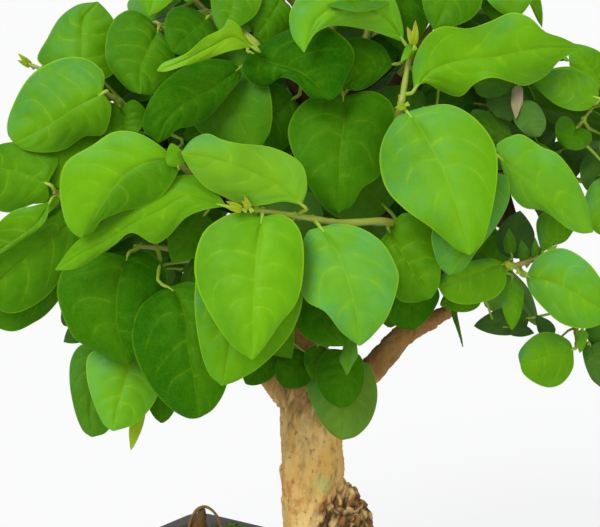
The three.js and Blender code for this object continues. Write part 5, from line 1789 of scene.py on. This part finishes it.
class LeafSettings(bpy.types.PropertyGroup):
    thickness: size_property("Thickness", "Thickness of a blade at its middle", 0.00055, 0.002)
    rib_depth: size_property("Rib depth", "How deep the rib lies in the upper face", 0.0005, 0.002)
    pillow_height: size_property("Pillow height", "How far the blade swells between veins", 0.0006, 0.002)
    gloss: FloatProperty(name="Roughness", description="Roughness of the upper face", default=0.34,
                         min=0.05, max=1.0, subtype="FACTOR")
    sheen: FloatProperty(name="Sheen", description="Strength of the leaf's reflection", default=0.14,
                         min=0.0, max=1.0, subtype="FACTOR")
    translucency: FloatProperty(name="Translucency", description="Share of light that passes the blade",
                                default=0.24, min=0.0, max=0.6, subtype="FACTOR")
    young_colour: colour_property("Young", "Upper face of a young leaf", (0.15, 0.43, 0.004))
    # The mature colour is also the painted shade of leaves that lie in shade.
    shade_colour: colour_property("Mature", "Upper face of a mature leaf", (0.010, 0.102, 0.0012))
    # Painted sky sheen: the two bluish greens put on the parts of blades that face the sky.
    sky_sheen_colour: colour_property("Cool", "Bluish green that some mature leaves turn to", (0.018, 0.13, 0.035))
    sky_sheen_young_colour: colour_property("Cool young", "Bluish green that some young leaves turn to",
                                       (0.11, 0.41, 0.085))
    dark_sheen_colour: colour_property("Dark sheen", "Reflection of a mature leaf", (0.25, 1.0, 0.03))
    light_sheen_colour: colour_property("Light sheen", "Reflection of a young leaf", (0.75, 1.0, 0.4))
    old_colour: colour_property("Old", "Old inner leaf", (0.07, 0.135, 0.042))
    bud_tip_colour: colour_property("Bud tip", "Reddened tips of opening leaves", (0.50, 0.17, 0.04))
    dried_colour: colour_property("Dried", "Dried leaf", (0.42, 0.33, 0.22))
    vein_colour: colour_property("Vein", "Rib, veins and margin", (0.30, 0.57, 0.014))
    under_colour: colour_property("Under face", "Under face of a leaf", (0.12, 0.30, 0.02))
    bud_colour: colour_property("Bud", "Leaves that are just opening", (0.42, 0.52, 0.02))
    glow_colour: colour_property("Glow", "Light that has passed a leaf", (0.36, 0.62, 0.02))


class WoodSettings(bpy.types.PropertyGroup):
    bark_relief: FloatProperty(name="Bark relief",
                               description="Height of the bark's relief, 1 as on a mature tree",
                               default=1.0, min=0.0, max=3.0, subtype="FACTOR")
    bark_colour: colour_property("Bark", "Main colour of the bark", (0.66, 0.395, 0.095))
    bark_light_colour: colour_property("Light bark", "Lighter clouds of the bark", (0.77, 0.55, 0.21))
    bark_warm_colour: colour_property("Warm bark", "Brown streaks of the bark", (0.34, 0.16, 0.04))
    bark_dark_colour: colour_property("Dark bark", "Lenticels and stains", (0.08, 0.045, 0.02))
    burl_light_colour: colour_property("Burl ridges", "Ridges of the burl", (0.66, 0.47, 0.19))
    burl_brown_colour: colour_property("Burl browns", "Browner ridges of the burl", (0.26, 0.11, 0.03))
    # Painted shade: the colour that darkens the bark's pits, furrows and the burl's cracks.
    burl_dark_colour: colour_property("Burl hollows", "Hollows of the burl and the bark",
                                      (0.05, 0.027, 0.009))
    lichen_colour: colour_property("Lichen", "Pale lichen on the trunk", (0.38, 0.46, 0.16))
    red_colour: colour_property("Red patch", "Reddish patches on the trunk", (0.52, 0.19, 0.045))
    branch_colour: colour_property("Branch", "Bark of the branches", (0.23, 0.11, 0.027))
    stalk_colour: colour_property("Stalk", "Leaf stalks", (0.29, 0.44, 0.025))
    stem_colour: colour_property("Stem", "Young stems", (0.27, 0.33, 0.03))
    stem_shade_colour: colour_property("Brown stem", "Brown stretches of young stems", (0.26, 0.20, 0.035))


class PotSettings(bpy.types.PropertyGroup):
    clay_colour: colour_property("Clay", "Main colour of the pot", (0.052, 0.047, 0.044))
    clay_light_colour: colour_property("Light clay", "Lighter clouds of the pot", (0.098, 0.088, 0.082))
    clay_worn_colour: colour_property("Worn clay", "Worn edges and grains", (0.18, 0.168, 0.16))
    soil_colour: colour_property("Soil", "Damp soil", (0.028, 0.017, 0.009))
    soil_light_colour: colour_property("Dry soil", "Drier crumbs", (0.085, 0.052, 0.027))
    grit_colour: colour_property("Grit", "Light grit in the soil", (0.30, 0.25, 0.18))
    moss_colour: colour_property("Moss", "Moss in its hollows", (0.02, 0.07, 0.006))
    moss_light_colour: colour_property("Moss tips", "Tips of the moss", (0.12, 0.24, 0.02))


class StageSettings(bpy.types.PropertyGroup):
    floor_colour: colour_property("Floor", "Pale floor", (0.15, 0.149, 0.148))
    floor_glow: FloatProperty(name="Floor glow", description="Light that the floor adds to hide its shadows",
                              default=0.80, min=0.0, max=1.0)
    key_strength: FloatProperty(name="Key light", description="Strength of the main soft light", default=2.3,
                                min=0.0, max=20.0)
    front_strength: FloatProperty(name="Front light", description="Strength of the low light from the front",
                                  default=0.75, min=0.0, max=20.0)
    side_strength: FloatProperty(name="Side light", description="Strength of the light from the right",
                                 default=0.4, min=0.0, max=20.0)
    sky: FloatProperty(name="Surrounding light", description="Strength of the light from overhead",
                       default=0.75, min=0.0, max=4.0)


# Operators

class BONSAI_OT_stage(bpy.types.Operator):
    """Sets up the pale floor, the soft lights and the camera at the photograph's angle"""
    bl_idname = "bonsai.stage"
    bl_label = "Stage"

    def execute(self, context):
        settings = context.scene.bonsai_stage
        deselect()
        bpy.ops.mesh.primitive_plane_add(size=80, location=(0, 0, 0))
        floor = context.object
        floor.name = "floor"
        m = Nodes("floor_white")
        shader = m.add("ShaderNodeBsdfPrincipled",
                       inputs={"Base Color": colour(settings.floor_colour), "Roughness": 0.9})
        shader.inputs["Specular IOR Level"].default_value = 0.0
        shader.inputs["Emission Color"].default_value = (1, 1, 1, 1)
        shader.inputs["Emission Strength"].default_value = settings.floor_glow
        floor.data.materials.append(m.finish(shader.outputs[0]))
        soft_sun("key_light", picture_direction(-0.55, -0.85, 0.75), 34, settings.key_strength)
        soft_sun("front_light", picture_direction(0.1, -1.0, 0.12), 50, settings.front_strength)
        soft_sun("side_light", picture_direction(1.0, -0.6, 0.4), 60, settings.side_strength)
        self.surround(context, settings)
        self.camera(context)
        return {"FINISHED"}

    def surround(self, context, settings):
        """A sky that is bright overhead and dim near the horizon."""
        world = bpy.data.worlds.new("studio")
        context.scene.world = world
        world.use_nodes = True
        tree = world.node_tree
        tree.nodes.clear()
        background = tree.nodes.new("ShaderNodeBackground")
        background.inputs[0].default_value = (0.93, 0.97, 1.0, 1)
        direction = tree.nodes.new("ShaderNodeTexCoord")
        parts = tree.nodes.new("ShaderNodeSeparateXYZ")
        rise = tree.nodes.new("ShaderNodeMapRange")
        for socket, value in zip(list(rise.inputs)[1:5], (0.0, 0.8, 0.25 * settings.sky, settings.sky)):
            socket.default_value = value
        output = tree.nodes.new("ShaderNodeOutputWorld")
        tree.links.new(direction.outputs["Generated"], parts.inputs[0])
        tree.links.new(parts.outputs[2], rise.inputs[0])
        tree.links.new(rise.outputs[0], background.inputs[1])
        tree.links.new(background.outputs[0], output.inputs[0])

    def camera(self, context):
        data = bpy.data.cameras.new("camera")
        data.sensor_width = SENSOR_WIDTH
        data.lens = SENSOR_WIDTH * PIXELS_PER_SLOPE / PICTURE_SIZE[0]
        camera = bpy.data.objects.new("camera", data)
        context.scene.collection.objects.link(camera)
        axes = Matrix(np.stack([VIEW_RIGHT, VIEW_UP, -VIEW_FORWARD], axis=1).tolist())
        turned = Matrix.Rotation(TREE_TURN, 3, "Z") @ axes
        camera.matrix_world = Matrix.Translation(in_pot_frame(EYE)) @ turned.to_4x4()
        context.scene.camera = camera
        context.scene.view_settings.view_transform = "Standard"


def soft_sun(name, direction, spread_degrees, strength):
    """Even light from a direction, with soft shadows."""
    data = bpy.data.lights.new(name, "SUN")
    data.angle = math.radians(spread_degrees)
    data.energy = strength
    light = linked(name, data)
    light.rotation_euler = Vector(direction).to_track_quat("Z", "Y").to_euler()


class BONSAI_OT_wood(bpy.types.Operator):
    """Models the trunk, burl and branches under one skin of bark"""
    bl_idname = "bonsai.wood"
    bl_label = "Trunk and branches"

    def execute(self, context):
        wood_piece()
        return {"FINISHED"}


class BONSAI_OT_root(bpy.types.Operator):
    """Models the thin root that loops out of the soil"""
    bl_idname = "bonsai.root"
    bl_label = "Looping root"

    def execute(self, context):
        def swell(place, angle):
            return 1 + 0.12 * np.sin(2 * angle + 14 * place) + 0.08 * np.sin(5 * angle - 31 * place)
        thin = 0.58 * np.array(ROOT[1])
        root = tube(picture_curve(ROOT[0]), thin, 16, 60, "bark", swell)
        knob = tube(picture_curve(ROOT_KNOB), [3.8, 3.5, 2.4, 0.8], 16, 24, "bark", swell)
        # Here the hollow mark darkens the root's bark evenly, and the knob's more.
        for part, hollow in ((root, 0.25), (knob, 0.6)):
            part.data.attributes.new("bark", "FLOAT_COLOR", "POINT")
            marks = np.tile(np.float32([hollow, 0, 1, 0]), (len(part.data.vertices), 1))
            part.data.attributes["bark"].data.foreach_set("color", marks.ravel())
        root = joined([root, knob], "root_bark")
        dress(root, "bark", "looping_root")
        return {"FINISHED"}


class BONSAI_OT_shown_sprays(bpy.types.Operator):
    """Models the sprays that the photograph shows, one piece for each"""
    bl_idname = "bonsai.shown_sprays"
    bl_label = "Front sprays"

    def execute(self, context):
        for index, shoot in enumerate(crown()["shoots"]):
            if "entries" in shoot:
                spray_piece(shoot, 5000 + index)
        return {"FINISHED"}


class BONSAI_OT_fill_sprays(bpy.types.Operator):
    """Models the sprays of the back, the top and the sides, one piece for each"""
    bl_idname = "bonsai.fill_sprays"
    bl_label = "Back and side sprays"

    def execute(self, context):
        for index, shoot in enumerate(crown()["shoots"]):
            if "entries" not in shoot:
                spray_piece(shoot, 7000 + index)
        return {"FINISHED"}


class BONSAI_OT_inner_leaves(bpy.types.Operator):
    """Models the older leaves inside the crown"""
    bl_idname = "bonsai.inner_leaves"
    bl_label = "Inner leaves"

    def execute(self, context):
        roll = dice(8000)
        parts = [part for blade in inner_blades() for part in leaf_piece(blade, roll(), inner=True)]
        for places in LOOSE_STEMS:
            line = picture_curve(places)
            foot = nearest(crown()["wood"].points, line[0])
            parts.append(tube([foot, *line], [0.7, 0.6, 0.55, 0.5, 0.45], 8, 24, "stem"))
        dress(joined(parts, "inner_leaves"), "foliage")
        return {"FINISHED"}


class BONSAI_OT_buds(bpy.types.Operator):
    """Models the growing tips of the shoots"""
    bl_idname = "bonsai.buds"
    bl_label = "Growing tips"

    def execute(self, context):
        buds_piece()
        return {"FINISHED"}


class BONSAI_OT_pot(bpy.types.Operator):
    """Models the pot with its rim, feet and drain holes"""
    bl_idname = "bonsai.pot"
    bl_label = "Pot"

    def execute(self, context):
        pot_piece()
        return {"FINISHED"}


class BONSAI_OT_soil(bpy.types.Operator):
    """Models the soil and the crumbs on it"""
    bl_idname = "bonsai.soil"
    bl_label = "Soil"

    def execute(self, context):
        soil_piece()
        return {"FINISHED"}


class BONSAI_OT_moss(bpy.types.Operator):
    """Models the moss on the soil"""
    bl_idname = "bonsai.moss"
    bl_label = "Moss"

    def execute(self, context):
        moss_piece()
        return {"FINISHED"}


class BONSAI_PT_panel(bpy.types.Panel):
    """Lists the steps that model the bonsai, with their settings"""
    bl_idname = "BONSAI_PT_panel"
    bl_label = "Privet bonsai"
    bl_space_type = "VIEW_3D"
    bl_region_type = "UI"
    bl_category = "Bonsai"

    def draw(self, context):
        for operator in OPERATORS:
            self.layout.operator(operator.bl_idname)
        for label, name, group in SETTINGS:
            box = self.layout.box()
            box.label(text=label)
            settings = getattr(context.scene, name)
            for key in group.__annotations__:
                box.prop(settings, key)


OPERATORS = (
    BONSAI_OT_stage, BONSAI_OT_wood, BONSAI_OT_root, BONSAI_OT_shown_sprays, BONSAI_OT_fill_sprays,
    BONSAI_OT_inner_leaves, BONSAI_OT_buds, BONSAI_OT_pot, BONSAI_OT_soil, BONSAI_OT_moss,
)
SETTINGS = (
    ("Leaves", "bonsai_leaves", LeafSettings),
    ("Wood", "bonsai_wood", WoodSettings),
    ("Pot", "bonsai_pot", PotSettings),
    ("Stage", "bonsai_stage", StageSettings),
)


def register():
    for _, name, group in SETTINGS:
        bpy.utils.register_class(group)
        setattr(bpy.types.Scene, name, PointerProperty(type=group))
    for kind in (*OPERATORS, BONSAI_PT_panel):
        bpy.utils.register_class(kind)


def unregister():
    for kind in (BONSAI_PT_panel, *reversed(OPERATORS)):
        bpy.utils.unregister_class(kind)
    for _, name, group in reversed(SETTINGS):
        delattr(bpy.types.Scene, name)
        bpy.utils.unregister_class(group)


def main():
    register()
    for operator in OPERATORS:
        group, name = operator.bl_idname.split(".")
        getattr(getattr(bpy.ops, group), name)()


if __name__ == "__main__":
    main()
